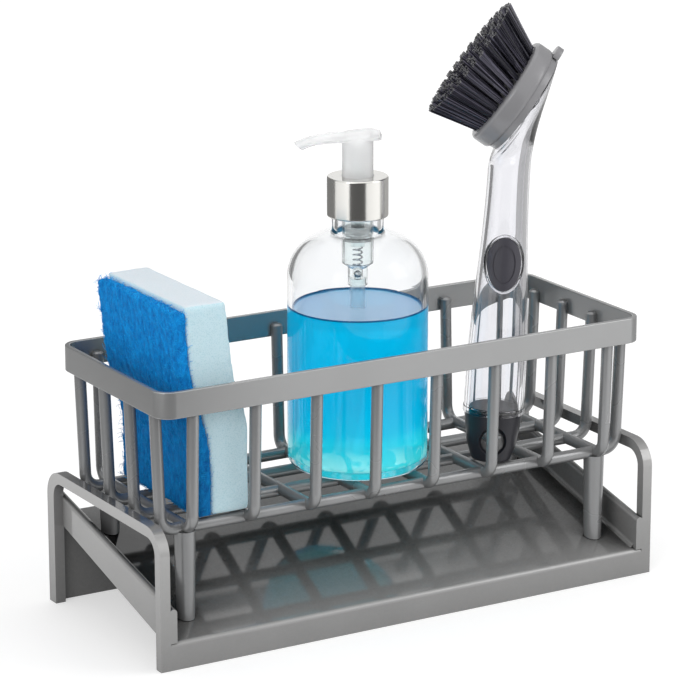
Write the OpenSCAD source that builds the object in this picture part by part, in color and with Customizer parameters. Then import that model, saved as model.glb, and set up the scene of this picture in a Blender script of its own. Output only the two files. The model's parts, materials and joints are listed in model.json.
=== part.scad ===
// Sink caddy set: a drain tray with open end loops, a wire basket on four legs, and what
// stands in the basket: a soap pump bottle, a two-layer sponge and a filling dish brush.
// Origin: middle of the tray's footprint on the counter. +X along the tray, +Y to its back, +Z up.
// All lengths are in millimetres.

/* [Drain tray] */
// Length over the end loops
tray_l = 300; // [290:1:330]
// Depth from front to back
tray_d = 127.2; // [124:0.2:140]
// Wall of the front band, floor and back
tray_t = 3; // [2.4:0.1:3.6]
// Height of the floor's front edge and the band
band_h = 14.4; // [12:0.2:17]
// Slope of the floor in degrees
floor_angle = 14.7; // [12:0.1:15.5]
// Radius of the band's top edge
band_edge_r = 3; // [1.5:0.5:4]
// Radius where the floor meets the side walls
floor_fillet_r = 2.5; // [1:0.5:4]
// Thickness of the side walls
side_t = 3.7; // [2.5:0.1:4.5]
// Height of a side wall at the front
side_front_h = 32.5; // [28:0.5:36]
// Height of a side wall at the back
side_back_h = 60.5; // [56:0.5:62]

/* [End loops] */
// Height of the loops
loop_h = 74; // [72:1:110]
// Thickness of the loops along the tray
loop_t = 5.7; // [4.5:0.1:6.5]
// Depth of the front post
loop_post = 5.4; // [4.5:0.1:7]
// Depth of the back leg
loop_back = 7.5; // [6:0.1:9]
// Height of the top rail
loop_rail = 5.8; // [4.5:0.1:7]
// Outer corner radius
loop_r = 14; // [10:0.5:20]

/* [Basket] */
// Gap between the rim's end and the tray's end
rim_end_inset = 4.45; // [3.6:0.05:8]
// Gap between the rim's side and the tray's side
rim_side_inset = 7; // [6:0.1:10]
// Shift of the basket from the tray's middle
basket_y = -2.1; // [-4:0.1:2]
// Height of the wires' underside over the counter
basket_z = 64.4; // [62:0.2:72]
// Height of the basket from the wires' underside to the rim's top
basket_h = 79.2; // [70:0.2:95]
// Height of the rim band
rim_h = 13.9; // [10:0.1:18]
// Thickness of the rim band
rim_t = 2.7; // [2:0.1:3.2]
// Outer corner radius of the rim band
rim_r = 9; // [7:0.5:14]

/* [Wires] */
// Diameter of a wire
wire_d = 6.2; // [5.4:0.1:6.6]
// Centre line radius of a wire's bends
wire_bend_r = 8; // [7:0.5:12]
// Lean of the uprights in degrees
wire_draft = 2; // [1:0.5:4]
// Distance from the rim's outer face to an upright's centre
wire_inset = 4.25; // [3.9:0.05:5]
// How far the uprights' tops lie under the rim's top
wire_drop = 6.5; // [4:0.5:8]
// Step between the cross wires and the long wires at the welds
weld_step = 0.5; // [0:0.1:2]
// Distance from the rim's end to the first cross wire
cross_margin = 20.2; // [18:0.2:24]
// Distance from the rim's side to the first long wire
long_margin = 14.9; // [13:0.1:17]

/* [Legs] */
// Diameter at the top
leg_d = 11.2; // [9:0.1:12.5]
// Diameter at the foot
leg_foot_d = 9.2; // [7:0.1:10.5]

/* [Bottle] */
// Place of the bottle's axis along the tray
bottle_x = -1; // [-8:0.5:8]
// Shift of the bottle's axis to the front of the basket's middle
bottle_shift = 4.1; // [0:0.1:6]
// Radius of the body
bottle_r = 37.1; // [32:0.1:40]
// Height of the straight body under the shoulder
shoulder_z = 102; // [96:1:106]
// Radius of the shoulder
shoulder_r = 24.5; // [20:0.5:26]
// Radius of the base edge
base_r = 5.5; // [3:0.5:7]
// Glass thickness
glass_t = 2.6; // [1.8:0.1:3.2]
// Thickness of the base
base_t = 4; // [3:0.5:6]
// Radius of the neck
neck_r = 13.5; // [13:0.1:14.5]
// Radius of the neck's bore
bore_r = 11; // [10.8:0.1:11.6]
// Length of the neck over the shoulder
neck_l = 23.6; // [22:0.1:28]
// Radius of the fillet between the shoulder and the neck
neck_fillet_r = 2.2; // [1:0.1:3]
// Height of the soap over the bottle's foot
soap_h = 85.8; // [40:0.2:92]

/* [Pump] */
// Radius of the collar
collar_r = 16.15; // [16.1:0.05:18]
// Height of the collar
collar_h = 21.4; // [19:0.1:23]
// Stroke of the plunger
stroke = 7.5; // [5:0.5:7.5]
// Radius of the spout's skirt
skirt_r = 8.15; // [7.8:0.05:8.3]
// Length of the skirt that shows over the collar
skirt_show = 17.4; // [15:0.2:22]
// Height of the spout head over its skirt
head_h = 7.4; // [6:0.1:9]
// Half width of the spout head
head_w = 8.3; // [7:0.1:9]
// Reach of the spout from the axis
spout_reach = 33; // [28:0.5:36]
// Direction of the spout in degrees
spout_turn = 149.2; // [140:0.1:160]
// Radius of the pump barrel
barrel_r = 8.2; // [8:0.05:8.4]
// Wall of the pump barrel
barrel_wall = 1.2; // [0.9:0.05:1.4]
// Radius of the plunger stem
stem_r = 3.6; // [3.4:0.05:3.7]
// Bore radius of the plunger stem
stem_bore_r = 2.1; // [1.8:0.05:2.2]
// Radius of the dip tube
dip_r = 3.95; // [3.6:0.05:4]
// Wall of the dip tube
dip_wall = 0.9; // [0.7:0.05:1.1]
// Sideways reach of the dip tube's bend
dip_reach = 6; // [3:0.5:6.4]
// Wire diameter of the return spring
spring_wire = 0.8; // [0.6:0.05:0.85]
// Outer radius of the return spring
spring_r = 2.75; // [2.6:0.05:2.9]
// Free length of the return spring
spring_l = 12; // [11.5:0.1:13]
// Turns of the return spring
spring_turns = 4; // [3:0.5:4.5]

/* [Sponge] */
// Distance from the rim's end to the pad's foot
sponge_margin = 27.5; // [24:0.5:40]
// Gap between the front wires and the sponge
sponge_front_gap = 5.35; // [4:0.05:10]
// Gap between the back wires and the sponge
sponge_back_gap = 9.15; // [4:0.05:12]
// Height of the scouring pad
pad_h = 108.5; // [95:0.5:120]
// How much further the foam reaches up
foam_rise = 2.5; // [0:0.5:6]
// Thickness of the scouring pad
pad_t = 7.5; // [6:0.5:10]
// Thickness of the foam
foam_t = 21.8; // [18:0.2:26]
// Sideways lean of the sponge's top
sponge_lean = 13; // [8:0.5:13.5]

/* [Brush] */
// Place of the brush along the tray
brush_x = 65; // [62:0.5:70]
// Gap between the front wires and the brush's grip
brush_gap = 1.35; // [1:0.05:5]
// Tilt of the brush to the right in degrees
brush_tilt = 3.5; // [1:0.1:4]
// Turn of the brush in degrees
brush_turn = -30.8; // [-36:0.1:-24]
// Grip radius at the foot
grip_r = 16; // [15:0.1:17]
// Radius of the slim stretch of the handle
slim_r = 11.15; // [10.5:0.05:12]
// Wall of the clear handle
handle_wall = 2.7; // [2.2:0.1:3]
// Height of the straight handle, with its cap
handle_h = 157; // [152:1:160]
// Height of the end cap
cap_h = 26; // [24:0.5:29]
// Radius of the end cap's foot
cap_foot_r = 10.8; // [10:0.1:11.5]
// Radius of the end cap's bottom edge
cap_edge_r = 1.5; // [1:0.1:2]
// Radius of the hanging hole
hang_r = 6; // [4.5:0.1:6.5]
// Height of the hanging hole
hang_z = 11.5; // [10.5:0.1:12.5]
// Length of the hanging hole between its flared mouths
hang_l = 19; // [17:0.5:21]
// Height of the button's middle
button_z = 108.6; // [104:0.2:114]
// Half width of the button
button_w = 9; // [7.5:0.1:9.4]
// Half height of the button
button_h = 14; // [11:0.1:15]

/* [Brush head] */
// Tilt of the head in degrees
head_tilt = 58.1; // [56:0.1:60]
// Radius of the head plate
plate_r = 30; // [29.2:0.1:31]
// Thickness of the head plate
plate_t = 10.5; // [9:0.1:11]
// Depth of the collar behind the plate
collar_t = 5; // [4:0.1:5.5]
// Radius of the bristle field
field_r = 26.4; // [24:0.1:26.8]
// Length of the bristles
bristle_l = 26.5; // [22:0.5:28]
// Splay of the outermost bristles in degrees
bristle_splay = 19.9; // [12:0.1:21]
// Lean of all bristles towards the tab in degrees
bristle_lean = 8.4; // [0:0.2:10]
// Reach of the release tab from the head's axis
tab_reach = 34.4; // [32.5:0.1:36]

/* [Fits] */
// Gap under what stands on something
seat_gap = 0.3; // [0.2:0.05:0.4]
// Gap between pieces fitted tightly together
snug = 0.05; // [0.02:0.01:0.08]
// Gap of a sliding or turning piece round its guide
running = 0.08; // [0.05:0.01:0.1]
// Gap beside a loose piece that passes through a hole
loose = 0.3; // [0.25:0.05:0.4]

/* [Hidden] */
$fn = 72;
// Overrun of cuts past the faces they cut
over = 1;

rim_l = tray_l - 2 * rim_end_inset;
rim_w = tray_d - 2 * rim_side_inset;
rim_top = basket_z + basket_h;
long_z = basket_z + wire_d / 2;
cross_z = long_z + weld_step;
deck_z = cross_z + wire_d / 2 + seat_gap;
// A bend is this much fuller than the straight runs, whose ends reach into it
bend_swell = 0.02;
bend_bite = 0.3;
cross_count = 8;
long_count = 4;
cross_pitch = (rim_l - 2 * cross_margin) / (cross_count - 1);
long_pitch = (rim_w - 2 * long_margin) / (long_count - 1);
// Half of the room between the front and the back uprights, at their tops
well_half = rim_w / 2 - wire_inset - wire_d / 2;
// How far the tray's body reaches into its end loops
loop_bite = 0.5;

// Points of an arc round a centre, from one angle to another
function arc(centre, r, from, to, steps = 8) =
    [for (i = [0:steps]) let (a = from + (to - from) * i / steps) centre + r * [cos(a), sin(a)]];

function reversed(list) = [for (i = [len(list) - 1:-1:0]) list[i]];

// Smooth step from 0 to 1
function ease(t) = let (u = min(1, max(0, t))) u * u * (3 - 2 * u);

// Point on a cubic curve
function cubic(p, t) = pow(1 - t, 3) * p[0] + 3 * pow(1 - t, 2) * t * p[1]
    + 3 * (1 - t) * t * t * p[2] + pow(t, 3) * p[3];

// Lays an outline drawn in depth and height across the tray and gives it a length along X
module along_x(length) {
    rotate([90, 0, 90]) linear_extrude(length, center = true) children();
}

module rounded_plate(l, w, r) {
    square([l - 2 * r, w], center = true);
    square([l, w - 2 * r], center = true);
    for (x = [-1, 1], y = [-1, 1])
        translate([x * (l / 2 - r), y * (w / 2 - r)]) circle(r);
}

// Closed skin over rings of points; a looped skin joins its last ring to its first
module skin(rings, looped = false) {
    sides = len(rings[0]);
    count = len(rings);
    walls = [for (i = [0:count - (looped ? 1 : 2)], j = [0:sides - 1])
        let (a = i * sides, b = (i + 1) % count * sides, k = (j + 1) % sides)
        each [[a + j, b + k, a + k], [a + j, b + j, b + k]]];
    ends = looped ? [] : [for (j = [1:sides - 2])
        each [[0, j, j + 1],
            [(count - 1) * sides, (count - 1) * sides + j + 1, (count - 1) * sides + j]]];
    polyhedron(points = [for (ring = rings) each ring], faces = concat(walls, ends));
}

// The drain tray

function floor_z(y) = band_h + (y + tray_d / 2) * tan(floor_angle);
function under_z(y) = floor_z(y) - tray_t / cos(floor_angle);

module loop_outline() {
    inner_w = tray_d - loop_post - loop_back;
    inner_r = loop_r - loop_rail;
    difference() {
        arch(tray_d, loop_h, loop_r);
        translate([(loop_post - loop_back) / 2, -over])
            arch(inner_w, loop_h - loop_rail + over, inner_r);
    }
}

// Upright plate with two rounded top corners
module arch(w, h, r) {
    translate([-w / 2, 0]) square([w, h - r]);
    translate([-w / 2 + r, 0]) square([w - 2 * r, h]);
    for (x = [-1, 1]) translate([x * (w / 2 - r), h - r]) circle(r);
}

// Band, sloping floor and back wall in one section
module tray_section() {
    front = -tray_d / 2;
    back = tray_d / 2;
    edge_z = band_h - band_edge_r * (1 - sin(floor_angle)) / cos(floor_angle);
    difference() {
        polygon(concat(
            [[front, 0]],
            arc([front + band_edge_r, edge_z], band_edge_r, 180, 90 + floor_angle),
            [[back, floor_z(back)], [back, 0]]
        ));
        polygon([
            [front + tray_t, -over],
            [front + tray_t, under_z(front + tray_t)],
            [back - tray_t, under_z(back - tray_t)],
            [back - tray_t, -over]
        ]);
    }
}

module side_wall() {
    front = -tray_d / 2;
    back = tray_d / 2;
    top_slope = atan((side_back_h - side_front_h) / tray_d);
    wall = side_t + loop_bite;
    crown_r = wall / 2;
    crown_drop = crown_r / cos(top_slope);
    along_x(wall) polygon([
        [front, under_z(front) + tray_t],
        [back, under_z(back)],
        [back, side_back_h - crown_drop],
        [front, side_front_h - crown_drop]
    ]);
    // Rounded top edge, cut flush at both ends
    intersection() {
        translate([0, 0, (side_front_h + side_back_h) / 2 - crown_drop])
            rotate([top_slope - 90, 0, 0]) cylinder(r = crown_r, h = 2 * tray_d, center = true);
        translate([-wall, front, 0]) cube([2 * wall, tray_d, side_back_h]);
    }
}

module floor_fillet() {
    length = (tray_d - band_edge_r) / cos(floor_angle) - tray_t;
    translate([0, band_edge_r - tray_d / 2, floor_z(band_edge_r - tray_d / 2)])
        rotate([floor_angle, 0, 0]) translate([0, length, 0]) rotate([90, 0, 0])
            linear_extrude(length) difference() {
                translate([-snug, -snug]) square(floor_fillet_r + snug);
                translate([floor_fillet_r, floor_fillet_r]) circle(floor_fillet_r);
            }
}

module drain_tray() color("dimgray") {
    inner = tray_l / 2 - loop_t - side_t;
    along_x(tray_l - 2 * (loop_t - loop_bite)) tray_section();
    for (side = [0, 1]) mirror([side, 0, 0]) {
        translate([(tray_l - loop_t) / 2, 0, 0]) along_x(loop_t) loop_outline();
        translate([inner + (side_t + loop_bite) / 2, 0, 0]) side_wall();
        translate([-inner, 0, 0]) floor_fillet();
    }
}

// The basket

module rim_band() color("gray")
    translate([0, basket_y, rim_top - rim_h]) linear_extrude(rim_h) difference() {
        rounded_plate(rim_l, rim_w, rim_r);
        rounded_plate(rim_l - 2 * rim_t, rim_w - 2 * rim_t, rim_r - rim_t);
    }

// A U of wire along X, its flat run's centre line at z = 0, its ends chamfered
module u_wire(half_top, rise) {
    corner = half_top - rise * tan(wire_draft);
    flat = corner - wire_bend_r * tan((90 - wire_draft) / 2);
    upright = (rise - wire_bend_r * (1 - sin(wire_draft))) / cos(wire_draft);
    wire_r = wire_d / 2;
    chamfer = wire_r / 3;
    rotate([0, 90, 0]) cylinder(r = wire_r, h = 2 * (flat + bend_bite), center = true);
    for (side = [0, 1]) mirror([side, 0, 0]) {
        translate([flat, 0, wire_bend_r]) rotate([90, 0, 0]) rotate([0, 0, -90])
            rotate_extrude(angle = 90 - wire_draft)
                translate([wire_bend_r, 0]) circle(wire_r + bend_swell);
        translate([half_top, 0, rise]) rotate([0, wire_draft, 0]) rotate_extrude() polygon([
            [0, -upright - bend_bite], [wire_r, -upright - bend_bite],
            [wire_r, wire_r - chamfer], [wire_r - chamfer, wire_r], [0, wire_r]
        ]);
    }
}

function cross_x(i) = -rim_l / 2 + cross_margin + (i - 1) * cross_pitch;
function long_y(i) = basket_y - rim_w / 2 + long_margin + (i - 1) * long_pitch;

module cross_wire(i) color("gray")
    translate([cross_x(i), basket_y, cross_z]) rotate([0, 0, 90])
        u_wire(rim_w / 2 - wire_inset, rim_top - wire_drop - wire_d / 2 - cross_z);

module long_wire(i) color("gray")
    translate([0, long_y(i), long_z])
        u_wire(rim_l / 2 - wire_inset, rim_top - wire_drop - wire_d / 2 - long_z);

// A leg under the crossing of two wires, its foot cut to the slope of the tray
module leg(column, row) color("gray") {
    x = cross_x(column);
    y = long_y(row);
    top = basket_z + wire_d / 4;
    foot = floor_z(y) - leg_d;
    difference() {
        translate([x, y, foot]) cylinder(d1 = leg_foot_d, d2 = leg_d, h = top - foot);
        translate([x, y, floor_z(y) + seat_gap]) rotate([floor_angle, 0, 0])
            translate([-leg_d, -leg_d, -3 * leg_d]) cube([2 * leg_d, 2 * leg_d, 3 * leg_d]);
    }
}

// The bottle and its pump, each drawn from the bottle's foot upwards

bottle_y = basket_y - bottle_shift;
neck_top = shoulder_z + shoulder_r + neck_l;
gasket_t = 1.2;
flange_t = 1.6;
insert_top_t = 2;
collar_wall = 0.9;
collar_top_t = 1.2;
collar_edge_r = 1;
flange_z = neck_top + gasket_t;
insert_z = flange_z + flange_t;
collar_top = insert_z + insert_top_t + collar_top_t;
skirt_top = collar_top + skirt_show;

inner_r = bottle_r - glass_t;
function shoulder_angle(r, arc_r) =
    let (share = (r - (bottle_r - shoulder_r)) / arc_r) share <= 0 ? 90 : acos(share);

module at_bottle() {
    translate([bottle_x, bottle_y, deck_z]) children();
}

// Outline of the space inside the glass, up to the mouth
module bottle_inside(gap = 0) {
    edge = base_r - glass_t / 2;
    polygon(concat(
        [[0, base_t + gap]],
        arc([inner_r - gap - edge, base_t + gap + edge], edge, -90, 0),
        arc([bottle_r - shoulder_r, shoulder_z], shoulder_r - glass_t - gap, 0,
            shoulder_angle(bore_r, shoulder_r - glass_t), 14),
        [[bore_r - gap, shoulder_z + shoulder_r - glass_t - gap],
            [bore_r - gap, neck_top + over], [0, neck_top + over]]
    ));
}

module bottle() color("lightblue", 0.4) at_bottle() rotate_extrude() {
    punt_r = bottle_r - 2 * base_r;
    punt = base_t / 3;
    fillet_end = shoulder_angle(neck_r + neck_fillet_r, shoulder_r + neck_fillet_r);
    fillet_z = shoulder_z + (shoulder_r + neck_fillet_r) * sin(fillet_end);
    difference() {
        polygon(concat(
            [[0, punt], [punt_r - base_r, punt]],
            [[punt_r, 0]],
            arc([bottle_r - base_r, base_r], base_r, -90, 0),
            arc([bottle_r - shoulder_r, shoulder_z], shoulder_r, 0, fillet_end, 14),
            arc([neck_r + neck_fillet_r, fillet_z], neck_fillet_r, 180 + fillet_end, 180, 5),
            [[neck_r, neck_top], [0, neck_top]]
        ));
        bottle_inside();
    }
}

// Soap, with the channel that the dip tube keeps free
module soap() color("deepskyblue", 0.8) at_bottle() {
    channel_r = dip_r + loose;
    difference() {
        rotate_extrude() intersection() {
            bottle_inside(snug);
            square([bottle_r, soap_h]);
        }
        translate([0, 0, -over]) linear_extrude(soap_h + 2 * over) {
            circle(channel_r);
            rotate(spout_turn) translate([dip_reach, 0]) circle(channel_r);
            rotate(spout_turn) translate([0, -channel_r]) square([dip_reach, 2 * channel_r]);
        }
    }
}

module collar() color("silver") at_bottle() rotate_extrude() {
    foot = collar_top - collar_h;
    difference() {
        polygon(concat(
            arc([collar_r - collar_edge_r, foot + collar_edge_r], collar_edge_r, -90, 0, 4),
            arc([collar_r - collar_edge_r, collar_top - collar_edge_r], collar_edge_r, 0, 90, 4),
            [[skirt_r + loose, collar_top], [skirt_r + loose, foot]]
        ));
        translate([0, foot - over])
            square([collar_r - collar_wall, collar_h - collar_top_t + over]);
    }
}

module closure_insert() color("white") at_bottle() {
    foot = collar_top - collar_h + collar_edge_r;
    outer = collar_r - collar_wall - snug;
    rotate_extrude() {
        translate([neck_r + loose, foot]) square([outer - neck_r - loose, insert_z - foot]);
        translate([skirt_r + loose, insert_z])
            square([outer - skirt_r - loose, insert_top_t]);
    }
}

module neck_gasket() color("gainsboro") at_bottle() translate([0, 0, neck_top])
    rotate_extrude() translate([bore_r - loose, 0]) square([neck_r - bore_r + loose, gasket_t]);

// Levels inside the pump, from the bottle's mouth downwards
cup_spare = 2;
cup_depth = stroke + cup_spare;
barrel_l = 40.4;
barrel_end = neck_top - barrel_l;
taper_l = 2.4;
socket_l = 12;
barrel_bore = barrel_r - barrel_wall;
socket_wall = 1.2;
dip_seat = 3.5;
ledge_t = 0.8;
ball_r = 2;
seat_hole_r = 1.5;
socket_r = dip_r + socket_wall;
ledge_z = barrel_end - socket_l + dip_seat;
cage_z = ledge_z + ledge_t + 2 * ball_r;
spring_z = cage_z + ledge_t;
stem_foot = spring_z + spring_l;

module pump_housing() color("whitesmoke") at_bottle() rotate_extrude() {
    cup_r = skirt_r + loose + running;
    cup_outer = bore_r - loose;
    cup_foot = insert_z - cup_depth;
    foot = barrel_end - socket_l;
    chamber_r = stem_r + loose;
    difference() {
        union() {
            translate([0, flange_z]) square([neck_r, flange_t]);
            translate([0, cup_foot - barrel_wall]) square([cup_outer, insert_z - cup_foot + barrel_wall]);
            translate([0, barrel_end]) square([barrel_r, cup_foot - barrel_end]);
            polygon([[0, barrel_end - taper_l], [socket_r, barrel_end - taper_l],
                [barrel_r, barrel_end], [0, barrel_end]]);
            translate([0, foot]) square([socket_r, socket_l]);
        }
        translate([0, cup_foot]) square([cup_r, insert_z - cup_foot + over]);
        translate([0, barrel_end]) square([barrel_bore, cup_foot - barrel_end + over]);
        polygon([[0, barrel_end - taper_l], [chamber_r, barrel_end - taper_l],
            [barrel_bore, barrel_end + snug], [0, barrel_end + snug]]);
        translate([0, spring_z]) square([chamber_r, barrel_end - spring_z]);
        translate([0, ledge_z]) square([seat_hole_r, spring_z - ledge_z + over]);
        translate([0, ledge_z + ledge_t]) square([ball_r + loose, cage_z - ledge_z - ledge_t]);
        translate([0, foot - over]) square([dip_r + snug, dip_seat + over]);
    }
}

module inlet_ball() color("slategray") at_bottle()
    translate([0, 0, ledge_z + ledge_t + sqrt(pow(ball_r, 2) - pow(seat_hole_r, 2)) + snug])
        sphere(ball_r);

piston_rise = 3;
piston_l = 7;
piston_lip = 1.6;

module piston() color("silver") at_bottle() {
    piston_z = stem_foot + piston_rise;
    outer = barrel_bore - running;
    rotate_extrude() polygon([
        [stem_r + snug, piston_z], [outer, piston_z], [outer, piston_z + piston_lip],
        [outer - piston_lip / 2, piston_z + 2 * piston_lip],
        [outer - piston_lip / 2, piston_z + piston_l - 2 * piston_lip],
        [outer, piston_z + piston_l - piston_lip], [outer, piston_z + piston_l],
        [stem_r + snug, piston_z + piston_l]
    ]);
}

// The stem ends inside the spout head's socket, under its deck
skirt_wall = 1.1;
socket_depth = skirt_show * 0.6;
stem_top = skirt_top - skirt_wall - seat_gap;

module plunger_stem() color("whitesmoke") at_bottle() translate([0, 0, stem_foot])
    rotate_extrude() translate([stem_bore_r, 0])
        square([stem_r - stem_bore_r, stem_top - stem_foot]);

// Helix of the return spring: centre line point at a share of its length
spring_rings = 8 * spring_turns;
spring_mean_r = spring_r - spring_wire / 2;
spring_run = spring_l - spring_wire - 2 * snug;
function helix(t) = [spring_mean_r * cos(360 * spring_turns * t),
    spring_mean_r * sin(360 * spring_turns * t), spring_wire / 2 + snug + spring_run * t];

spring_points = [for (i = [0:spring_rings]) helix(i / spring_rings)];
spring_least_gap = min([for (i = [0:spring_rings], j = [0:spring_rings])
    if (j - i >= 4) norm(spring_points[i] - spring_points[j])]) - spring_wire;
echo(spring_least_gap = spring_least_gap);

module return_spring() color("silver") at_bottle() translate([0, 0, spring_z]) {
    sides = 6;
    skin([for (i = [0:spring_rings]) let (t = i / spring_rings, turn = 360 * spring_turns * t)
        [for (j = [0:sides - 1]) let (a = -360 * j / sides)
            helix(t) + spring_wire / 2 * (cos(a) * [cos(turn), sin(turn), 0] + sin(a) * [0, 0, 1])]]);
}

// Straight at the top, then bent sideways more and more towards its foot
module dip_tube() color("lightcyan") at_bottle() rotate([0, 0, spout_turn]) {
    straight_end = soap_h - 3 * dip_r;
    foot = base_t + 2 * dip_r;
    steps = 8;
    levels = concat([for (i = [0:steps]) foot + (straight_end - foot) * i / steps], [ledge_z]);
    skin(concat(
        [for (z = levels) dip_ring(z, dip_r, straight_end, foot)],
        [for (z = reversed(levels)) dip_ring(z, dip_r - dip_wall, straight_end, foot)]
    ), looped = true);
}

function dip_ring(z, r, straight_end, foot, sides = 20) = let (
    shift = dip_reach * pow(max(0, (straight_end - z) / (straight_end - foot)), 2)
) [for (j = [0:sides - 1]) let (a = 360 * j / sides) [shift + r * cos(a), r * sin(a), z]];

// Spout head: rings of an oval section from the thumb rest to the lip. Each row gives the top
// edge's place and height, the lower edge's place and height, and the half width, as shares of
// the reach, the head's height and its half width.
spout_shares = [
    [-0.38, 0.55, -0.38, 0.25, 0.3],
    [-0.345, 0.85, -0.345, 0.18, 0.7],
    [-0.21, 1, -0.21, 0.12, 0.95],
    [0, 0.93, 0, 0.02, 1],
    [0.22, 0.78, 0.24, 0, 0.88],
    [0.45, 0.7, 0.45, -0.05, 0.75],
    [0.67, 0.54, 0.64, -0.16, 0.63],
    [0.84, 0.31, 0.77, -0.33, 0.56],
    [1, 0, 0.86, -0.51, 0.5]
];

module spout_head() color("white") at_bottle() {
    foot = collar_top - collar_top_t;
    stem_socket_r = stem_r + running;
    sides = 24;
    lip_bore = head_h / 6;
    deck_share = 0.4;
    difference() {
        union() {
            translate([0, 0, foot]) rotate_extrude() {
                translate([skirt_r - skirt_wall, 0]) square([skirt_wall, skirt_top - foot]);
                translate([stem_socket_r, skirt_top - foot - socket_depth])
                    square([skirt_wall, socket_depth]);
                // Deck that closes the skirt and carries the head
                translate([0, skirt_top - foot - skirt_wall])
                    square([skirt_r, skirt_wall + deck_share * head_h]);
            }
            translate([0, 0, skirt_top]) rotate([0, 0, spout_turn])
                skin([for (row = spout_shares) [for (j = [0:sides - 1])
                    let (a = 360 * j / sides, c = cos(a))
                    [spout_reach * (row[0] + row[2] + (row[0] - row[2]) * c) / 2,
                        -head_w * row[4] * sin(a),
                        head_h * (row[1] + row[3] + (row[1] - row[3]) * c) / 2]]]);
        }
        // Outlet at the lip
        translate([0, 0, skirt_top]) rotate([0, 0, spout_turn])
            translate([spout_reach * 0.93, 0, -head_h * 0.255]) rotate([0, 115, 0])
                cylinder(r = lip_bore, h = 2 * head_h, center = true);
    }
}

// The sponge, drawn from its foot; each row gives a height as a share of the pad's height and
// the lean of the pad's face, of the joint and of the foam's face as shares of the full lean.
sponge_shares = [
    [0, 0, 0, 0],
    [0.2, 0, 0, 0],
    [0.32, 0.03, 0.08, 0],
    [0.4, 0.18, 0.2, 0.03],
    [0.5, 0.42, 0.4, 0.2],
    [0.62, 0.68, 0.72, 0.55],
    [0.72, 0.8, 0.9, 0.7],
    [0.85, 0.9, 1, 0.82],
    [1, 1, 1.08, 0.96]
];
pad_x = -rim_l / 2 + sponge_margin;
sponge_w = 2 * well_half - sponge_front_gap - sponge_back_gap;
sponge_y = basket_y + (sponge_front_gap - sponge_back_gap) / 2;

// Points down one face of the sponge: which column leans, how far it lies from the pad's face
function face_points(column, offset, height) = [for (row = sponge_shares)
    [offset - sponge_lean * row[column], height * row[0]]];

module sponge_layer(left, right) {
    translate([pad_x, sponge_y, deck_z]) rotate([90, 0, 0])
        linear_extrude(sponge_w, center = true) polygon(concat(reversed(left), right));
}

module scour_pad() color("steelblue")
    sponge_layer(face_points(1, 0, pad_h), face_points(2, pad_t, pad_h));

module foam() color("lightblue") {
    top = face_points(2, pad_t, pad_h)[len(sponge_shares) - 1] + [0, foam_rise];
    sponge_layer(concat(face_points(2, pad_t, pad_h), [top]),
        face_points(3, pad_t + foam_t, pad_h + foam_rise));
}

// The brush, drawn upright from the foot of its end cap

brush_y = basket_y - well_half + brush_gap + grip_r;

module at_brush() {
    translate([brush_x, brush_y, deck_z - (cap_foot_r - cap_edge_r) * sin(brush_tilt)])
        rotate([0, brush_tilt, 0]) rotate([0, 0, brush_turn]) children();
}

taper_start = 0.265 * handle_h;
function grip_at(z) = grip_r - (grip_r - slim_r) * (1 - cos(180 * min(1, max(0,
    (z - taper_start) / (handle_h - taper_start))))) / 2;

// Place of the head's front face on its axis, and the spigot that carries the head
face_x = -5.3;
face_rise = 42.15;
spigot_inset = 4;
spigot_r = plate_r - spigot_inset;
spigot_wall = 2.3;
mouth_depth = plate_t + collar_t + loose;
face_z = handle_h + face_rise;

module at_head() {
    translate([face_x, 0, face_z]) rotate([0, -head_tilt, 0]) children();
}

// Outline of the neck in the plane that the head tilts in: the left and the right edge
mouth = [face_x + mouth_depth * sin(head_tilt), face_z - mouth_depth * cos(head_tilt)];
mouth_dir = [cos(head_tilt), sin(head_tilt)];
mouth_left = mouth - spigot_r * mouth_dir;
mouth_right = mouth + spigot_r * mouth_dir;
left_pull = 0.3 * (mouth_left[1] - handle_h);
right_pull = 0.36 * (mouth_right[1] - handle_h);
left_curve = [[-slim_r, handle_h], [-slim_r, handle_h + left_pull],
    mouth_left - left_pull * [0.3, 1], mouth_left];
right_curve = [[slim_r, handle_h], [slim_r, handle_h + right_pull],
    mouth_right - right_pull * [0.2, 1], mouth_right];

function neck_ring(t, inset, sides = 32) = let (
    left = cubic(left_curve, t),
    right = cubic(right_curve, t),
    middle = (left + right) / 2,
    across = (right - left) / 2,
    reach = norm(across),
    half = across * (reach - inset) / reach,
    depth = slim_r + (spigot_r - slim_r) * ease(t) - inset
) [for (j = [0:sides - 1]) let (a = 360 * j / sides)
    [middle[0] + half[0] * cos(a), depth * sin(a), middle[1] + half[1] * cos(a)]];

// Ring square to the head's axis, at a height over the head's front face
function mouth_ring(r, height, sides = 32) = [for (j = [0:sides - 1]) let (a = 360 * j / sides)
    [face_x - height * sin(head_tilt) + r * cos(a) * cos(head_tilt), r * sin(a),
        face_z + height * cos(head_tilt) + r * cos(a) * sin(head_tilt)]];

module oval(w, h) {
    polygon([for (i = [0:39]) [w * cos(9 * i), h * sin(9 * i)]]);
}

// Oval prism through the front of the handle, from its axis outwards
module button_prism(w, h) {
    translate([0, 0, button_z]) rotate([90, 0, 0]) linear_extrude(2 * grip_r) oval(w, h);
}

// Solid between the handle's outline moved out and the same outline moved in
module grip_shell(out, inwards, from, to) {
    steps = 20;
    rotate_extrude() polygon(concat(
        [for (i = [0:steps]) let (z = from + (to - from) * i / steps) [grip_at(z) + out, z]],
        [for (i = [steps:-1:0]) let (z = from + (to - from) * i / steps) [grip_at(z) - inwards, z]]
    ));
}

button_rim = 1.3;
button_proud = 0.9;
button_dish = 0.55;
ring_h = 3;
ring_out = 0.4;

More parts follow.
